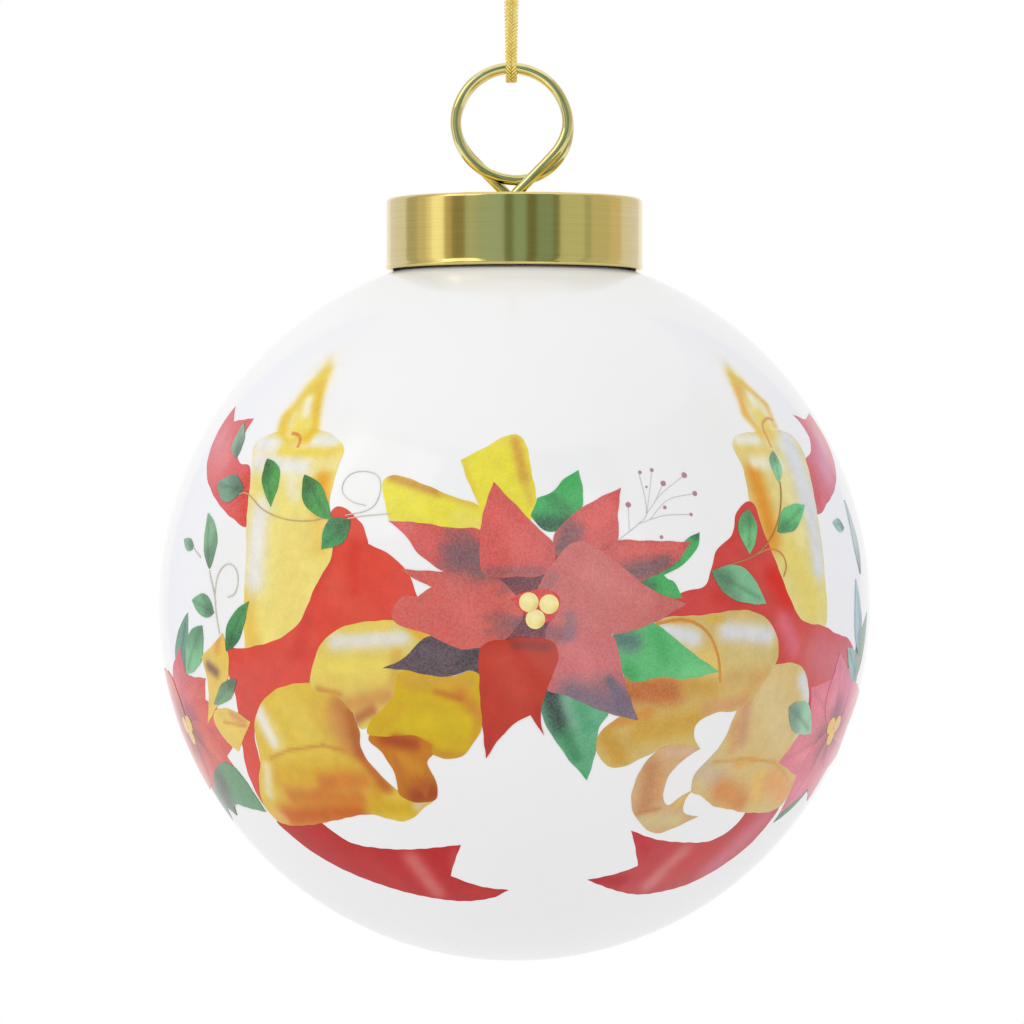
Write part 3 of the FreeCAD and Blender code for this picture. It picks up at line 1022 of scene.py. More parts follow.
def print_flower():
    """The poinsettia at the front, its green leaves and its berries."""
    m = Motif("flower")
    hollows = [
        (-9, 7.8, -5.5, 6.4, 2.7, PLUM, 0.8), (-6, 5, -3, 4.8, 0.8, PLUM, 0.5),
        (2.5, 3.2, 8, 4.4, 1.5, PLUM, 0.6), (7.5, 9, 9, 11.5, 1.7, PLUM, 0.65),
        (16, 5, 24, 6.6, 1.3, PLUM, 0.75), (1.5, -3, 7, -4.6, 1.3, PLUM, 0.65),
        (8.6, -1, 8.6, -4.5, 1.1, VIOLET, 0.6), (9, -13.6, 19.5, -17, 2.4, VIOLET, 0.9),
        (14, -12, 17, -13.5, 2.0, VIOLET, 0.35),
    ]
    hollows += fan(-3.5, 7.5, 140, 200, 7, 8.0, 0.7, PLUM, 0.4)
    hollows += fan(15, -11.5, 290, 325, 6, 6.5, 0.6, (84, 72, 96), 0.4)
    hollows += fan(16, 4.2, 2, 20, 4, 9.0, 0.6, PLUM, 0.45)
    hollows += fan(7, 8.5, 30, 80, 5, 5.0, 0.6, PLUM, 0.4)
    glow = (224, 84, 72)
    m.patch([(10.6, 21.3, TIP), (11, 16), (9, 12.5), (5, 11.5), (2.6, 14, TIP), (3.7, 16.7, TIP),
             (6.2, 17.8), (8, 19.7)],
            6, LEAF, (4, 12.5, 9, 12.5, 1.7, DARK_LEAF, 0.85), (6, 16.5, 8, 15, 1.2, (52, 120, 78), 0.6))
    m.patch([(30.6, 11.4, TIP), (28, 10.2), (24, 7), (21, 4.6), (24, 4.8), (27, 6.3), (29.7, 8.7)],
            6, LEAF, (24, 6, 26, 7.5, 0.8, DARK_LEAF, 0.6), (29.5, 10.8, 30.5, 11.3, 0.8, DARK_LEAF, 0.7))
    m.patch([(18, 3), (20, 4.6), (23.5, 4.9, TIP), (24.4, 4, TIP), (25.6, 3.4), (26.8, 1.2, TIP), (23, 1),
             (19, 1.5)],
            6, LEAF, (20, 3.6, 21.5, 3, 1.2, DARK_LEAF, 0.6))
    m.patch([(34.2, -10.2, TIP), (30, -8), (25.5, -5), (21.7, -2.7), (15.2, -4.7), (15.7, -7.3),
             (17.7, -11.2), (20, -11.8), (23.5, -11), (28, -11.4)],
            6, (88, 184, 110), (15, -5, 18.5, -5.6, 1.7, (74, 108, 104), 0.9),
            (17, -9, 18.5, -11, 1.4, (44, 150, 74), 0.6), (22, -4, 24, -8, 1.4, (50, 160, 84), 0.5),
            (28, -10.2, 33, -10.2, 1.4, (118, 206, 136), 0.6))
    m.patch([(12.8, -28, TIP), (13.7, -23.3), (13.8, -19.5), (15.2, -16), (10, -12.5), (4.8, -11.5),
             (4.3, -16.7), (8.3, -23.3)],
            6, (92, 170, 124), (5, -12, 7.6, -18.6, 1.9, (34, 54, 48), 0.9),
            (8, -20, 10.5, -24, 1.2, (42, 122, 74), 0.7), (10, -15, 12, -19, 1.2, (58, 150, 100), 0.6),
            (8, -14.5, 9.5, -18.5, 1.2, (150, 196, 170), 0.5),
            (11.5, -26.5, 12.5, -27.5, 0.9, (58, 160, 90), 0.7))
    m.patch([(-21, -9.7, TIP), (-17, -7.8), (-14, -5), (-10, -5), (-8.3, -6.7), (-4, -6.5), (-4.3, -10.6),
             (-7, -10), (-10, -10.9), (-13.3, -10.8), (-17, -10)],
            8, (86, 68, 76), (-8, -8.5, -5, -7.5, 1.0, (52, 44, 50), 0.6),
            (-14, -7, -11, -8, 1.2, (98, 80, 88), 0.5))
    m.patch([(-20.4, 13.1, TIP), (-15, 12.8), (-10, 12), (-5, 11.4), (-2.5, 6), (-6, 4.4), (-11, 5.3),
             (-15, 8), (-17.7, 11.2)],
            7, (206, 58, 46, THIN), (-18, 12.2, -13, 9, 1.4, glow, 0.5), *hollows)
    m.patch([(17.5, 18.4, TIP), (16.6, 14), (16.2, 10), (12, 7), (8, 6.5), (6, 10), (8, 13), (11.5, 15.6)],
            7, (206, 64, 58, THIN), (12, 13, 15.5, 15, 1.6, glow, 0.6), *hollows)
    m.patch([(28.8, 9.8, TIP), (25, 6), (19.3, 3.6), (15, 3), (12, 7), (15, 9.8), (21, 10)],
            7, (200, 58, 54, THIN), (17, 8.5, 26, 9, 0.9, glow, 0.6), *hollows)
    m.patch([(20.4, -17.9, TIP), (15, -16.7), (8.3, -14), (4.8, -12.6), (4.5, -7), (6, -2), (12, -2.5),
             (15.5, -5), (17.4, -11.3)],
            8, (198, 76, 78, THIN), (9, -6, 12, -10, 1.8, (210, 98, 98), 0.6), *hollows)
    m.dot(4, 0.5, 8, 6, (150, 50, 52), (-2, 4, 7, 4, 2.2, PLUM, 0.9), (1, -3.4, 8, -3.8, 1.8, PLUM, 0.9),
          (8.6, -1, 8.8, -5, 1.4, VIOLET, 0.8))
    m.patch([(-17.9, 5.6, TIP), (-11, 5.2), (-6, 5.2), (-2.6, 4.2), (0, 1.8), (1.4, -1), (0.5, -3.2),
             (-1.6, -5.2), (-5, -6.4), (-8.5, -6.6), (-14, -4.2), (-19, -2.2), (-18, 1), (-15, 1.4, TIP),
             (-12.8, 2.8, TIP), (-16.2, 4.4, TIP)],
            9, (206, 70, 54, THIN), (-9, 2, -6, -3, 2.0, (214, 88, 76), 0.6), *hollows,
            *fan(2, -2.5, 165, 215, 6, 6.5, 0.5, PLUM, 0.4),
            *fan(3, 3.5, 165, 195, 4, 6.0, 0.5, PLUM, 0.35))
    m.patch([(-3.4, 19.3, TIP), (0.2, 15.6), (3.6, 12), (6.3, 9), (5, 5), (0, 4.4), (-4.6, 4.8), (-5.4, 9),
             (-5, 14)],
            10, (208, 62, 52, THIN), (-3, 15, 0, 10, 1.8, glow, 0.6), (-4, 5.2, 4, 5.2, 0.9, PLUM, 0.5),
            (5.5, 9.5, 5.5, 6.5, 0.8, DEEP_RED, 0.6))
    m.patch([(-4.8, -24.2, TIP), (-5.3, -17), (-5.5, -11.5), (-5, -6.2), (-1, -5.2), (3, -5), (6, -5.6),
             (6.8, -8), (5.2, -12.7), (4.2, -16.7), (4.8, -20.4, TIP), (2.5, -17, TIP), (-1, -19.3)],
            10, (190, 56, 36, THICK), (-2, -8, 1, -14, 2.4, (198, 76, 60), 0.6),
            (-4, -20, -4.6, -23, 1.2, DEEP_RED, 0.5), (0, -6, 5.5, -6.4, 0.8, PLUM, 0.45),
            (4, -16, 4.6, -19.5, 0.8, DEEP_RED, 0.7))
    m.patch([(27.6, 0.3, TIP), (21, 2.8), (15.5, 7), (10, 9.9), (6.5, 7.2), (3.4, 2), (4, -1.5), (9, -3.2),
             (15.5, -4.4), (21.7, -2.7)],
            11, (194, 78, 72, THIN), (12, 5, 20, 1, 2.2, (208, 100, 94), 0.6),
            (4, 1.5, 6, 4.5, 0.9, PLUM, 0.35), (8.5, -1.6, 9, -4, 1.0, VIOLET, 0.5))
    m.patch([(-0.6, 0.9, TIP), (2, 2.2), (6, 2.2), (7, 0), (5, -2.6), (2.4, -1.8)],
            12, (212, 58, 50), (5.5, -1, 6.5, 1, 1.0, DEEP_RED, 0.6))
    for lon, lat in ((2.2, 0.5), (5.3, 0.2), (3.2, -2.1)):
        m.dot(lon, lat, 1.5, 13, (238, 222, 140),
              (lon - 0.4, lat + 0.5, lon, lat + 0.3, 0.7, (248, 238, 176), 0.8),
              (lon + 0.9, lat - 1.2, lon + 1.3, lat - 0.6, 0.5, (222, 184, 84), 0.7))
    m.finish()


def print_bow():
    """The two lemon loops behind the flower."""
    m = Motif("bow")
    m.patch([(-9, 23, TIP), (-4.5, 25.4), (-0.5, 27.4), (1.7, 26.3), (2.8, 21), (3.5, 16.7), (3, 13.5),
             (-5.5, 13), (-5.8, 15.6), (-7.7, 19.7)],
            3, LEMON, (0.2, 26.2, 1.6, 20, 1.0, (206, 152, 52), 0.85),
            (1.6, 20, 2.6, 16, 0.8, (214, 176, 60), 0.6),
            (-8.6, 22.6, -6.2, 16.4, 0.6, (222, 190, 60), 0.5), (-4, 23, -2, 17, 2.4, (236, 224, 60), 0.6))
    m.patch([(-22, 19.6), (-19.7, 20.5), (-15, 19), (-10, 17), (-5.5, 15.2), (-4.6, 11), (-10, 11.3),
             (-15.5, 12.6), (-20.3, 13.3, TIP), (-21.5, 17)],
            4, LEMON, (-20.5, 20.2, -12.5, 17.8, 0.9, (200, 140, 48), 0.9),
            (-12, 17.4, -6, 15.6, 0.6, (216, 176, 66), 0.6),
            (-9, 13.6, -5.6, 12.4, 1.6, (232, 216, 110), 0.6),
            (-20.5, 17.5, -15, 15, 1.6, (238, 228, 56), 0.6))
    m.finish()


def print_sprig():
    """Thin stems with small berries at the upper right of the flower."""
    m = Motif("sprig")
    for width, stem in (
        (0.16, [(16.3, 10), (20, 12.7), (21.5, 14.3), (21, 21)]),
        (0.12, [(21.5, 14.3), (23.4, 21.4)]),
        (0.14, [(20, 12.7), (24.5, 14), (29.4, 14.2)]),
        (0.12, [(22, 13.4), (25.5, 16.5), (30.7, 17.6)]),
        (0.12, [(21.5, 14.3), (24.5, 17.5), (29.3, 20.6)]),
        (0.12, [(23, 16), (25.1, 19.2)]),
        (0.1, [(18.3, 11.3), (18.5, 15.7)]),
    ):
        m.line(stem, 2, TWIG, width)
    for lon, lat, size in (
        (18.5, 15.7, 0.45), (21.2, 21, 0.3), (23.4, 21.4, 0.32), (22, 18.6, 0.2), (25.1, 19.2, 0.45),
        (29.3, 20.6, 0.48), (30.7, 17.6, 0.42), (24.8, 15.3, 0.3), (29.4, 14.2, 0.28), (23.7, 10.6, 0.3),
    ):
        m.dot(lon, lat, size, 3, MAUVE)
    m.finish()


def print_left_candle():
    """Cream candle with a white highlight, its lip, flame and wick."""
    m = Motif("candle_left")
    flame = [
        (-43, 40, -42.4, 31, 4.6, (246, 234, 200), 0.6),
        (-43.4, 42.2, -42, 39.5, 1.5, (240, 216, 150), 0.7),
        (-42.6, 36, -42, 29.4, 3.0, (238, 214, 84), 1.0), (-42, 39.4, -42.6, 37, 1.9, (234, 206, 60), 1.0),
        (-43.4, 37, -46.6, 31, 1.7, (234, 202, 56), 0.9),
        (-46.7, 31, -46.5, 29.4, 1.5, (236, 204, 58), 1.0),
        (-46.3, 29, -43.4, 27, 1.2, (234, 200, 62), 1.0),
        (-43.4, 26.9, -38.9, 26.9, 0.9, (238, 208, 84), 0.9),
        (-41.4, 37, -38.3, 29, 1.4, (234, 192, 46), 1.0),
        (-38.5, 28.6, -39.4, 27, 1.0, (234, 192, 54), 0.9),
        (-42.6, 34, -41.8, 31.2, 1.1, (246, 240, 216), 1.0),
        (-42.4, 29.5, -40.6, 29.4, 1.4, (240, 220, 90), 0.8),
        (-44.4, 28, -42.8, 27.7, 0.8, (244, 232, 160), 0.7),
    ]
    m.patch([(-44, 47), (-38, 42), (-34, 34), (-35.5, 27), (-41, 23.8), (-46, 24.4), (-52, 28.5), (-53, 34),
             (-49.5, 42)],
            1, NO_INK, *flame)
    m.patch([(-52.4, 25.8), (-50, 27.7), (-43, 28.7), (-36.9, 28.5), (-33.2, 27.2), (-30.6, 25),
             (-31, 21.5), (-31.2, 15), (-29, 8), (-32, 2), (-36, -4), (-40, -6), (-47.6, -7.5, TIP),
             (-47.4, 7.5), (-48.4, 12.5), (-50, 20), (-51.4, 23.5)],
            2, (236, 220, 126, THICK), (-36, 10, -38, -2, 3.5, (234, 208, 110), 0.6),
            (-33.4, 20.5, -32.8, 16, 1.7, (234, 164, 36), 0.95),
            (-33, 14, -32, 9, 1.8, (232, 190, 84), 0.6), (-46.8, 2, -46, -6, 2.3, (232, 194, 84), 0.9),
            (-48.2, 13, -47.6, 3, 0.8, (234, 212, 120), 0.7),
            (-50.4, 21, -49.4, 17, 1.2, (236, 214, 150), 0.7), (-45.6, 15, -45, 4, 2.5, PAPER, 1.0),
            (-50.8, 26.2, -33.5, 26.4, 1.8, (236, 234, 230), 1.0),
            (-50, 23.2, -37.5, 22, 1.9, (236, 233, 226), 1.0), (-40, 19.4, -38.5, 17.5, 1.3, PAPER, 0.6),
            (-44.4, 25, -33.6, 24.4, 1.0, (236, 212, 84), 0.95),
            (-33.8, 24.3, -31.2, 25, 0.9, (234, 206, 96), 0.9),
            (-36, 22.2, -31.8, 22.4, 1.2, (236, 222, 150), 0.8), *flame)
    m.line([(-43.4, 28), (-41.5, 27.6), (-40.6, 26.6), (-40.8, 25.4)], 4, (224, 148, 60), 0.6)
    m.finish()


def print_right_candle():
    """The second candle, lit from the other side."""
    m = Motif("candle_right")
    flame = [
        (51.2, 40, 52, 31, 4.4, (238, 232, 206), 0.5), (51, 41, 50.2, 39, 1.3, (232, 212, 150), 0.7),
        (51, 37, 52, 30, 2.9, (230, 208, 84), 1.0), (50.2, 38.8, 50.8, 36.6, 1.6, (222, 190, 60), 1.0),
        (49.2, 36.6, 47.8, 31.6, 1.3, (230, 176, 60), 1.0),
        (47.8, 31.4, 49.6, 28.4, 1.1, (232, 184, 64), 0.95),
        (52.4, 37.4, 56, 33.6, 1.1, (226, 182, 70), 0.9), (56, 33.4, 55.2, 29.6, 1.0, (230, 190, 84), 0.9),
        (52.2, 34.8, 51.8, 32.8, 1.3, (238, 234, 208), 1.0),
        (51.4, 31.4, 52.4, 29.4, 1.5, (232, 212, 92), 0.8),
        (50.2, 28.2, 52.6, 27.9, 1.1, (234, 196, 100), 0.8),
    ]
    m.patch([(51.5, 45), (56.5, 41), (60, 34), (58, 27.5), (50.5, 23.8), (44.5, 26), (42, 32), (45, 40)],
            1, NO_INK, *flame)
    m.patch([(41.2, 25.4), (42.6, 27.4), (47.5, 28.3), (53, 28.7), (58.6, 28.4), (61.2, 26.2), (60.8, 22.5),
             (59.2, 15), (58.6, 5), (58.2, -4), (52, -3.5), (48.5, 0), (44, 7), (41.8, 15), (42, 22.3)],
            2, (226, 213, 138, THICK), (44.2, 21, 45.4, 10, 2.2, (224, 150, 48), 1.0),
            (50, 8, 55, 0, 3.4, (232, 212, 104), 0.7), (51.5, 20, 52.5, 10, 1.6, (238, 226, 160), 0.7),
            # the dim whites at this candle's right edge are paper in painted shade of the ball's right side
            (43, 26.8, 48, 27, 1.2, PAPER, 0.9), (57, 27, 57.2, 17, 3.2, (218, 221, 226), 1.0),
            (57, 17, 56.8, 6, 2.1, SHADED_PAPER, 1.0), (41.8, 25, 51, 25.1, 0.8, (232, 206, 116), 0.9),
            (45, 23, 52, 22.6, 1.2, (238, 234, 212), 0.9), (53.8, 27, 54.4, 26, 1.0, (232, 232, 232), 0.8),
            *flame)
    m.line([(51.1, 25.6), (51.1, 27.2), (51, 28.7), (51.6, 29.9), (54, 30.9), (55.5, 30.6)],
           4, (218, 160, 84), 0.5)
    m.finish()


def print_ribbons():
    """Red ribbon: the two curls beside the candles, the folds behind the rolls and the two cut tails."""
    m = Motif("ribbons")
    pink = (226, 132, 130)
    m.patch([(-68, 33.6, TIP), (-64.3, 30.6, TIP), (-56.6, 31, TIP), (-57.2, 25.6), (-55, 23.1),
             (-51.5, 22.3), (-49.3, 18), (-47.4, 12.8), (-52.5, 13.8), (-60, 17.5), (-66, 21.5),
             (-69, 25.5), (-69.6, 30)],
            1, (220, 84, 78), (-66, 27, -61, 24, 3.5, pink, 0.8),
            (-51, 20, -49, 14, 1.6, (214, 52, 44), 0.7))
    m.patch([(65, 31.9, TIP), (70, 31, TIP), (77, 32.5, TIP), (78.5, 27), (74.5, 22), (69, 18.6),
             (64, 16.4), (58.5, 14.8), (59.5, 20), (60.8, 23.6), (64, 24.8), (67, 27.4), (66.9, 29.6)],
            1, (212, 92, 104), (68, 22, 73, 27, 3.0, (218, 150, 170), 0.7),
            (60.5, 17, 61.5, 22, 1.6, (206, 66, 72), 0.8))
    m.patch([(-30.4, 15.1), (-25.4, 13.2), (-23.5, 9.5, TIP), (-20, 8), (-17.4, 5.9), (-16.3, 4.4, TIP),
             (-15, 1.2), (-13.5, -4), (-20, -4), (-30, -6), (-34, -14), (-45, -16.5), (-49, -20),
             (-50.5, -26), (-54.6, -33.5), (-55.5, -28), (-53.6, -22), (-51.8, -15), (-52.6, -7.4),
             (-47.6, -6.7), (-40, -5.2), (-35.5, -2.5), (-32.5, 3), (-29.7, 8)],
            3, (220, 76, 60, THICK), (-29, 3, -24, -2, 3.0, (222, 90, 74), 0.7),
            (-40, -9, -48, -11, 3.0, (214, 76, 68), 0.5), (-18, 4, -18, -1, 1.5, (222, 84, 72), 0.6),
            (-50, -18, -48, -14, 1.4, (204, 80, 74), 0.5), (-34, -2, -36, -7, 1.4, (202, 50, 44), 0.6),
            (-29, 11, -33.5, 0, 0.9, (204, 52, 44), 0.45), (-26, 10, -25.5, 2, 0.9, (208, 54, 46), 0.4),
            (-38, -7.5, -30, -8, 1.0, (206, 56, 48), 0.4))
    m.patch([(42, 16.3), (38.4, 14.5), (36.8, 11), (33.5, 8.6), (32, 5), (30.8, 3), (26, 1.6), (23.5, -2.5),
             (28, -4), (40, -4), (45, -7), (46, -12), (52, -12), (55, -18), (58, -25), (66, -25), (74, -23),
             (75, -12), (69.5, -6), (62, -4.3), (58, -3.2), (52, -2.4), (49.2, 0.2), (46, 6), (43.5, 12)],
            3, (208, 72, 68, THICK), (45, 4.5, 48, 0.5, 2.0, (216, 36, 28), 0.85),
            (36, 10, 41, 14, 1.2, (204, 58, 56), 0.5), (47, -2.5, 50, -6.5, 1.9, (224, 116, 134), 0.75),
            (56, -8, 68, -10, 4.5, (212, 124, 130), 0.7), (33, 1.5, 38, 0.5, 1.4, (204, 50, 48), 0.5))
    m.patch([(-54, -36.2), (-46, -36), (-40.7, -36.4, TIP), (-36, -40.2), (-30, -41.3), (-22, -41.5),
             (-11, -40.4, TIP), (-14.9, -47.4, TIP), (-8, -50), (-1.4, -50.8, TIP), (-6, -53), (-15, -53.9),
             (-27.5, -52), (-40, -47.8), (-48, -43.3), (-52.5, -39)],
            # the pale pink stroke down this tail is a painted sheen of the glass over the red ribbon
            1, (186, 20, 22, THICK), (-22.5, -44, -20, -51, 2.6, (212, 124, 116), 0.75),
            (-13.5, -45, -12.5, -42, 1.4, (200, 100, 96), 0.4),
            (-33, -44, -30, -49, 3.0, (192, 44, 36), 0.5), (-12, -51, -4, -51.2, 1.3, (196, 40, 34), 0.5))
    m.patch([(23.5, -37.6, TIP), (30, -39.5), (37.5, -40.3), (45, -40), (49.5, -37), (51, -33), (56, -32),
             (61.2, -32.5), (60.5, -40), (58, -43.5), (54, -47), (48, -50.2), (40, -52), (33, -52.4),
             (25, -50.9), (17.4, -48.4, TIP), (24, -47), (28.6, -45.3, TIP)],
            1, (194, 62, 66, THICK), (58, -36, 52, -46, 3.6, (208, 112, 132), 0.75),
            (38.5, -43, 35, -49.5, 2.4, (216, 140, 136), 0.7),
            (46, -42.5, 40, -46, 2.6, (206, 58, 58), 0.6), (19, -48.4, 26, -49, 1.8, (180, 20, 32), 0.8),
            (25, -38.6, 29, -42, 1.3, (196, 40, 46), 0.6))
    m.finish()


def print_gold_rolls():
    """Loops and rolls of gold ribbon on both sides of the flower."""
    m = Motif("gold_rolls")
    fold = (200, 142, 54)
    m.patch([(-33, -12.3), (-40, -12.7), (-45, -15), (-48.5, -19), (-50, -25), (-53.5, -29.5),
             (-55.3, -33.6), (-53, -36.6), (-45, -36.9), (-37, -35.8), (-28.5, -34.5), (-21.5, -35.7),
             (-17, -33.2), (-14.6, -30.6), (-20.9, -30.4, TIP), (-24.2, -27), (-26.6, -23), (-26.4, -19.5),
             (-28, -15.5)],
            4, (222, 188, 66, THICK), (-40, -15.5, -36, -20, 3.2, (224, 196, 82), 0.8),
            (-34, -16, -32, -21, 1.8, (216, 176, 70), 0.7),
            (-29.4, -15.5, -28, -23, 1.9, (192, 116, 62), 0.85),
            (-27.2, -17, -27, -23, 1.3, (170, 84, 32), 0.8),
            (-31, -16.5, -30, -22.4, 1.8, (206, 142, 72), 0.55),
            (-46.5, -17, -44.8, -21.5, 1.7, PAPER, 0.95),
            (-43.6, -19, -42.6, -22, 1.2, (228, 204, 110), 0.6),
            (-48, -28, -30, -27, 2.4, (216, 168, 44), 0.9),
            (-51.6, -31, -48.8, -26.2, 1.3, (236, 220, 176), 0.9),
            (-49, -35.4, -31, -34, 2.5, (202, 98, 14), 1.0),
            (-45, -31.4, -29.4, -31.4, 1.9, (204, 118, 30), 0.85),
            (-40, -31.6, -34, -28.4, 0.9, (206, 116, 42), 0.6),
            (-36, -28.6, -27.5, -28.2, 1.8, (206, 116, 40), 0.8),
            (-26, -32, -25, -29.4, 1.4, (206, 148, 26), 0.8),
            (-26.4, -24.5, -23.4, -29.4, 1.3, (184, 92, 28), 0.85),
            (-19.6, -33.4, -26.4, -33, 1.6, (208, 168, 22), 0.9),
            (-18.5, -33, -15.8, -31.2, 0.7, (206, 196, 176), 0.8),
            (-47, -24.6, -42, -23.2, 0.3, fold, 0.75), (-42, -23.2, -34, -22.2, 0.3, fold, 0.9),
            (-34, -22.2, -28.6, -23.4, 0.35, fold, 0.9), (-53, -35, -51, -35.8, 1.4, (230, 176, 108), 0.7))
    m.patch([(-12.4, -4.8), (-16, -2.6), (-22.5, -2.4), (-28, -3.5), (-31.6, -6), (-33.5, -9.5),
             (-34.1, -12.8), (-29.5, -14.2), (-27, -17), (-25.8, -19.4), (-22.5, -17), (-19.5, -14.5),
             (-17.5, -10.5)],
            5, (222, 200, 98, THICK), (-29, -5.6, -17.5, -5, 1.5, (224, 220, 208), 1.0),
            (-20, -3.2, -27, -3.6, 0.7, (234, 206, 96), 0.8),
            (-32, -9.6, -21, -9.4, 1.5, (234, 210, 92), 0.8),
            (-31.5, -12, -22, -12.4, 1.2, (228, 196, 92), 0.7),
            (-13.2, -5.4, -17, -2.9, 0.7, (226, 168, 52), 0.9),
            (-18.6, -7.5, -19.4, -12, 1.1, (206, 160, 64), 0.7),
            (-27.5, -15.5, -20.5, -14, 1.5, (204, 142, 74), 0.8),
            (-26.8, -18, -23.5, -16.4, 1.0, (180, 104, 58), 0.85),
            (-33, -13, -29, -13.8, 0.6, (200, 134, 56), 0.8))
    m.patch([(-24.8, -20.6), (-20, -19.4), (-15, -20), (-13, -22.5), (-15, -25), (-13.9, -28.3),
             (-14.6, -31.6), (-20.7, -31.2), (-21.2, -27), (-22.7, -23.6)],
            6, (196, 120, 18, THICK), (-19.5, -24, -17, -26, 1.4, (204, 140, 28), 0.8),
            (-18, -31, -14.8, -30.2, 2.0, (160, 66, 16), 0.95),
            (-22, -21, -17, -21.8, 1.3, (168, 70, 18), 0.95),
            (-20.6, -24, -20, -29, 0.6, (186, 104, 42), 0.6),
            *fan(-16, -31, 70, 130, 6, 4.5, 0.2, RUST, 0.6))
    m.patch([(-5.1, -11), (-7, -10.1), (-10, -11), (-18, -10.2), (-19.7, -14.3), (-25, -19.8),
             (-21.7, -20.6), (-17, -20.4), (-14, -21.8), (-13.9, -23.6), (-9.7, -24.2), (-7.3, -22.3),
             (-5.3, -19), (-4.9, -14)],
            7, (208, 172, 18, THICK), (-17, -11.6, -7, -11.8, 1.4, (206, 158, 56), 0.85),
            (-8.6, -13.6, -6, -17, 1.2, (204, 128, 46), 0.8),
            (-12.4, -13.4, -8.6, -14.4, 0.6, (190, 104, 42), 0.7),
            (-17.5, -15, -12, -15.2, 1.0, (206, 172, 26), 0.7),
            (-18, -18.2, -8, -18.4, 1.9, (212, 182, 22), 0.9),
            (-22.5, -19.4, -18.5, -16, 0.9, (206, 160, 30), 0.6),
            (-20, -20.9, -14.6, -22.4, 0.9, (184, 96, 20), 0.9),
            (-13.6, -23.4, -8.6, -24, 0.9, (198, 140, 34), 0.9),
            (-5.8, -18, -6.8, -22, 0.8, (204, 150, 34), 0.7))
    m.patch([(46.5, -9.2), (51.5, -9.2), (54.3, -11), (56.5, -15), (58, -21.5), (59, -25), (62, -28.5),
             (61.6, -33.6), (51, -34.6), (45, -33.8), (40, -33), (36.5, -31.2), (33.8, -30.2), (33.4, -27),
             (35.5, -24.5), (37.5, -21.5), (38.8, -17), (40, -14), (43, -10.6)],
            4, (216, 186, 118), (45, -14, 51, -20, 3.2, (218, 196, 138), 0.8),
            (40.4, -15.6, 41.4, -21.4, 1.5, (202, 150, 106), 0.9),
            (42.6, -11.6, 40.8, -14.4, 0.9, (206, 138, 72), 0.8),
            (39, -19, 40, -23, 1.2, (212, 150, 90), 0.6), (34, -26, 40, -28.6, 2.6, (206, 182, 150), 0.9),
            (40.5, -30, 47, -32.6, 2.5, (214, 134, 58), 0.9),
            (42, -25.6, 46, -24.8, 0.8, (224, 166, 80), 0.8),
            (49, -28, 51.5, -31.5, 1.6, (232, 184, 84), 0.8),
            (53, -28.4, 60.5, -31.4, 2.4, (228, 160, 88), 0.95),
            # the dim whites on this roll are paper in painted shade of the ball's right side
            (53.4, -11.6, 57, -15.4, 1.4, SHADED_PAPER, 1.0),
            (56.8, -21, 57.8, -24.4, 1.3, (216, 214, 200), 0.9),
            (36.5, -25.2, 44, -24.6, 0.3, (204, 148, 66), 0.8),
            (44, -24.6, 52, -25.4, 0.3, (206, 150, 66), 0.9),
            (52, -25.4, 59, -28.6, 0.3, (206, 150, 76), 0.7))
    m.patch([(21.6, -2.4), (25, -1.7), (30, -1.5), (38, -0.7), (42, -1.5), (45, -3.8), (46.3, -8),
             (44, -11.6), (39.8, -16.2), (34, -17), (31, -19.4), (33, -22.8, TIP), (26.5, -22.2),
             (23.5, -23.6), (17.5, -25.9), (14, -23.4), (13.8, -20.6), (16.5, -17.8), (18.8, -16),
             (17.5, -11.5), (17, -6)],
            5, (210, 180, 100), (35.5, -8, 44, -8, 1.9, (212, 188, 116), 0.9),
            (36, -11.4, 42, -11, 1.5, (208, 168, 96), 0.8),
            (18.5, -13, 26, -13.4, 2.5, (190, 106, 36), 1.0),
            (28.6, -12.5, 33, -13, 1.8, (202, 154, 52), 0.9), (28, -8, 33, -9, 2.0, (230, 196, 96), 0.8),
            (16, -18.2, 22, -17, 1.2, (208, 134, 38), 0.85), (21, -20, 31, -18, 2.2, (206, 158, 44), 0.95),
            # the dim whites on this roll are paper in painted shade of the ball's right side
            (15, -20.4, 18, -24, 1.8, (200, 150, 38), 0.95), (23, -3.6, 29, -5, 1.8, SHADED_PAPER, 1.0),
            (35, -4, 43.6, -4.6, 1.8, SHADED_PAPER, 1.0), (31.6, -2.2, 34, -2, 0.7, (216, 172, 60), 0.8),
            (22.5, -2.5, 29, -2.3, 0.4, (224, 160, 50), 0.8),
            (33, -16.2, 40, -15, 1.3, (212, 150, 96), 0.8),
            (40, -13.6, 44, -10.4, 0.9, (214, 160, 84), 0.7),
            *fan(18, -14, -8, 24, 5, 8.0, 0.5, (194, 106, 38), 0.4))
    m.line([(22.3, -2.8), (27, -2.2), (31, -3.8), (33.5, -7.5), (34.6, -12)], 6, (206, 140, 44), 0.5)
    m.patch([(33, -22.8, TIP), (26.5, -22.2), (23, -25), (21.6, -30), (22.5, -33.5), (25.5, -36.5),
             (29, -38.2), (32.5, -37.4), (37.5, -35, TIP), (34, -34.3), (33, -32), (34.3, -29.8, TIP),
             (31.5, -31.5), (29.5, -32.8), (28, -31), (28, -27.5), (30, -24.8)],
            6, (212, 168, 118), (24.2, -26, 25, -33, 1.8, (194, 132, 80), 0.95),
            (26.4, -27, 26.6, -31, 0.8, (212, 142, 84), 0.7),
            (25, -35.8, 33, -35.6, 1.5, (208, 188, 132), 1.0),
            (27, -23.4, 31.6, -23.2, 0.8, (220, 178, 148), 0.8),
            (31.4, -32.6, 33.6, -30.6, 0.8, (220, 184, 90), 0.9),
            (23.6, -34.2, 28, -33.4, 0.35, (186, 112, 50), 0.6))
    m.finish()


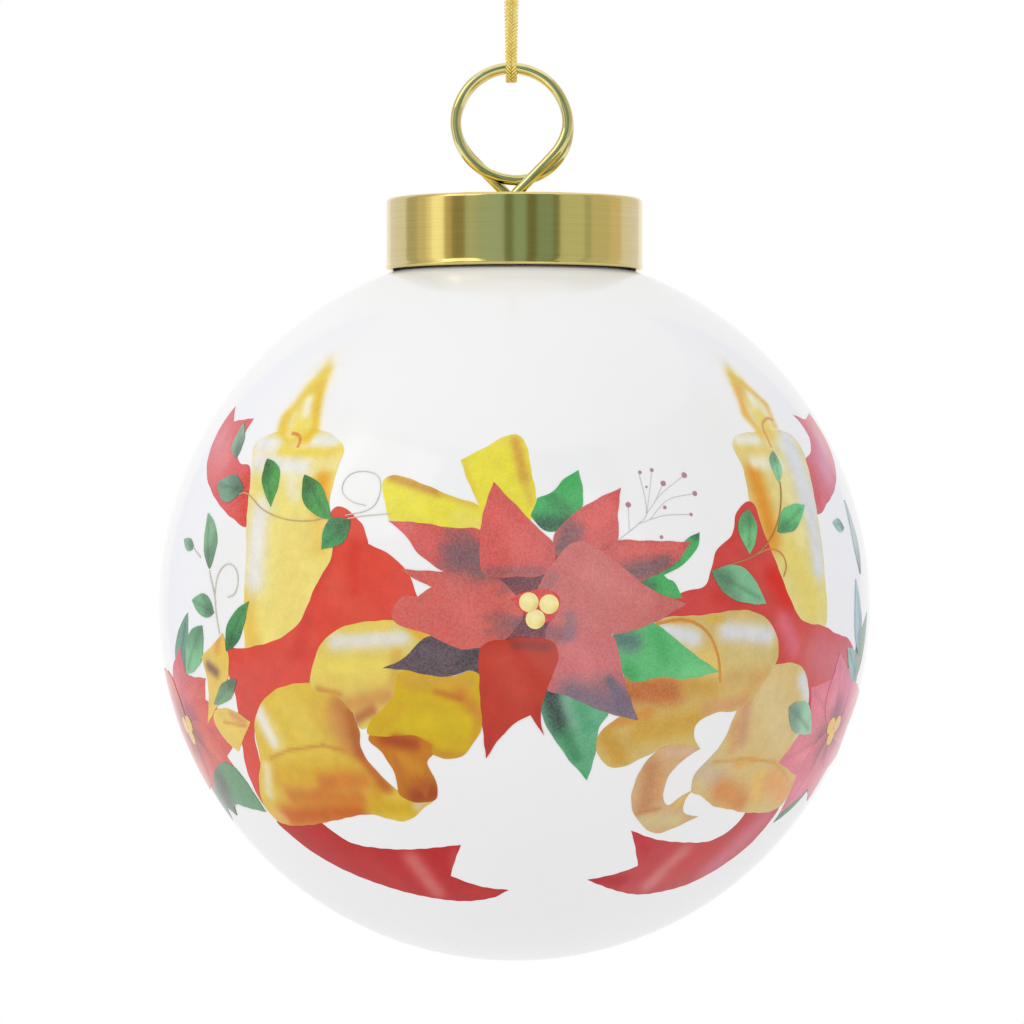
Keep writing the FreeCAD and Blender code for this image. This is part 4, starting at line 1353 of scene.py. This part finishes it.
def print_side_flowers():
    """Poinsettias at the two sides, where one print runs into the next, and the ribbon bits there."""
    for name, lon, blush, tips in (
        ("left", -74.0, 0, [(5.5, 13.5, 8), (14, 8.5, 8), (22, 0, 9), (16, -9, 9), (2, -14, 9),
                            (-10, -11, 9), (-14.5, 0, 8), (-11, 10, 8)]),
        ("right", 69.5, 30, [(-13, 7, 9), (-16.5, -5.5, 9), (-6, -15, 9), (7, -13, 9), (13.5, -5, 8),
                             (14, 6, 8), (5, 13, 8), (-5, 12.5, 8)]),
    ):
        m = Motif("side_flower_%s" % name)
        m.leaf((lon + 2, -24), (lon - 6, -37), 7, 2, (84, 128, 96))
        m.leaf((lon + 2, -14), (lon + 10, -1), 6, 2, (96, 148, 112))
        for k, (dx, dy, width) in enumerate(tips):
            m.petal((lon, -20), (lon + dx, -20 + dy), width + 1.5, 4 + k,
                    (216 + blush // 4, 84 + blush + 8 * (k % 2), 76 + 2 * blush))
        for dx, dy in ((-1.6, 0.6), (1.4, 0.9), (0.2, -1.3)):
            m.dot(lon + dx, -20 + dy, 1.4, 12, (236, 192, 96))
        m.finish()
    m = Motif("ribbon_bits")
    m.patch([(-59.6, -26.2), (-56, -34.5, TIP), (-62, -33.9), (-67.5, -33.4), (-71.5, -35.6, TIP),
             (-75, -32), (-68, -27)],
            12, (98, 150, 108), (-72, -33, -68, -29, 2.8, (84, 84, 74), 0.85))
    m.patch([(-53, -4.3, TIP), (-52, -9), (-55, -14), (-59.5, -17), (-63, -19, TIP), (-59.4, -13),
             (-60, -8, TIP), (-56, -6.2)],
            12, (232, 196, 84), (-58, -9.5, -56, -10.5, 1.0, (120, 78, 62), 0.8),
            (-54, -5, -55, -7, 0.8, (216, 140, 70), 0.6))
    m.patch([(-60, -17.4), (-55, -16.4), (-49.3, -18.5, TIP), (-52, -20.8), (-55.6, -23.6, TIP),
             (-59.6, -20.4)],
            7, (232, 198, 88), (-54, -17.4, -51, -18.4, 0.8, (214, 146, 90), 0.8),
            (-57, -18.6, -51, -19.2, 0.3, (200, 120, 60), 0.6))
    m.finish()


def print_greenery():
    """Leaves, vines and tendrils round the candles."""
    m = Motif("greenery")
    vine = (196, 170, 110)
    tendril = (206, 202, 190)
    for width, ink_colour, stem in (
        (0.2, vine, [(-53, 17.6), (-50, 17.8), (-45, 15.1), (-40, 13.6), (-35, 13.2), (-31, 13.8)]),
        (0.14, tendril, [(-27.5, 13.5), (-25, 13.9), (-20, 14.3)]),
        (0.13, tendril, [(-28, 14), (-23.5, 15.2), (-22.3, 17.6), (-23, 20.3), (-26, 21.2), (-28.6, 20.4),
                         (-29.3, 18.2), (-27.4, 16.4), (-24.5, 15.6)]),
        (0.24, tendril, [(-53.8, -4.5), (-54.6, -1), (-55, 1.5), (-57, 5.5)]),
        (0.2, tendril, [(-55, 1.5), (-54.4, 4.6), (-52.4, 6.4), (-50, 6), (-48.9, 4), (-49.6, 1.9),
                        (-51.4, 1.3)]),
        (0.2, tendril, [(-60.3, 7.6), (-63.5, 9.2)]),
        (0.22, (170, 120, 60), [(35.5, 6.2), (41, 7.8), (45, 10.5), (48, 14.2), (49.8, 18), (50.3, 20)]),
        (0.2, (196, 136, 60), [(41, 7.8), (44.5, 8.8), (47, 8.2), (48, 6.3), (47.2, 4.5)]),
    ):
        m.line(stem, 11, ink_colour, width)
    for root, tip, width, bend, base in (
        ((-47.2, 23.6), (-43.4, 15.6), 4.0, 0.35, (74, 158, 74)),
        ((-37.4, 20.7), (-30.3, 13.2), 4.0, -0.2, (66, 152, 70)),
        ((-27, 13.2), (-31.7, 8.7), 4.6, -0.2, (70, 150, 92)),
        ((-51.3, 18.4), (-60, 19.6), 4.6, 0.1, (116, 158, 126)),
        ((-56.4, 24), (-59.4, 30.2), 3.4, 0.2, (140, 176, 146)),
        ((-57, 5.8), (-60.3, 14.8), 4.0, -0.4, PALE_LEAF),
        ((-63.4, 9.2), (-68, 10.6), 2.0, 0.2, PALE_LEAF),
        ((-55.2, -1.2), (-62.4, 0.8), 3.6, -0.2, (112, 176, 122)),
        ((-52.3, -7.2), (-46.2, 0.7), 3.6, 0.1, (66, 146, 84)),
        ((-59, -3.2), (-67, -11), 5.4, 0.1, (124, 192, 132)),
        ((-50.6, -11.6), (-58.8, -15.8), 2.8, 0.1, (120, 158, 118)),
        ((41, 15.2), (40, 8), 4.0, -0.2, (108, 190, 124)),
        ((32.2, 5.2), (42.9, 0.2), 5.4, 0.2, (122, 186, 140)),
        ((46.9, 11.6), (55.6, 16), 3.8, 0.1, (98, 196, 124)),
        ((51, 25), (50, 19.5), 2.8, 0.0, (140, 208, 158)),
        ((51.2, -16), (60.2, -20.6), 5.0, 0.1, (158, 204, 172)),
        ((68.6, 12.4), (64.2, 13.2), 2.2, 0.0, (150, 196, 180)),
        ((74.6, 5), (73.2, 17), 3.0, 0.0, (190, 206, 206)),
        ((74.5, -8), (71.2, 4.2), 4.0, 0.3, (172, 200, 200)),
        ((76, -12), (67.5, -6.6), 4.0, 0.0, (150, 188, 176)),
    ):
        m.leaf(root, tip, width, 13, base, tuple(int(c * 0.6) for c in base), bend)
    m.finish()


print_flower()
print_bow()
print_sprig()
print_left_candle()
print_right_candle()
print_ribbons()
print_gold_rolls()
print_side_flowers()
print_greenery()

make_sheen([o for o in scene.objects if o.name.startswith(("ball_shell", "print_"))])
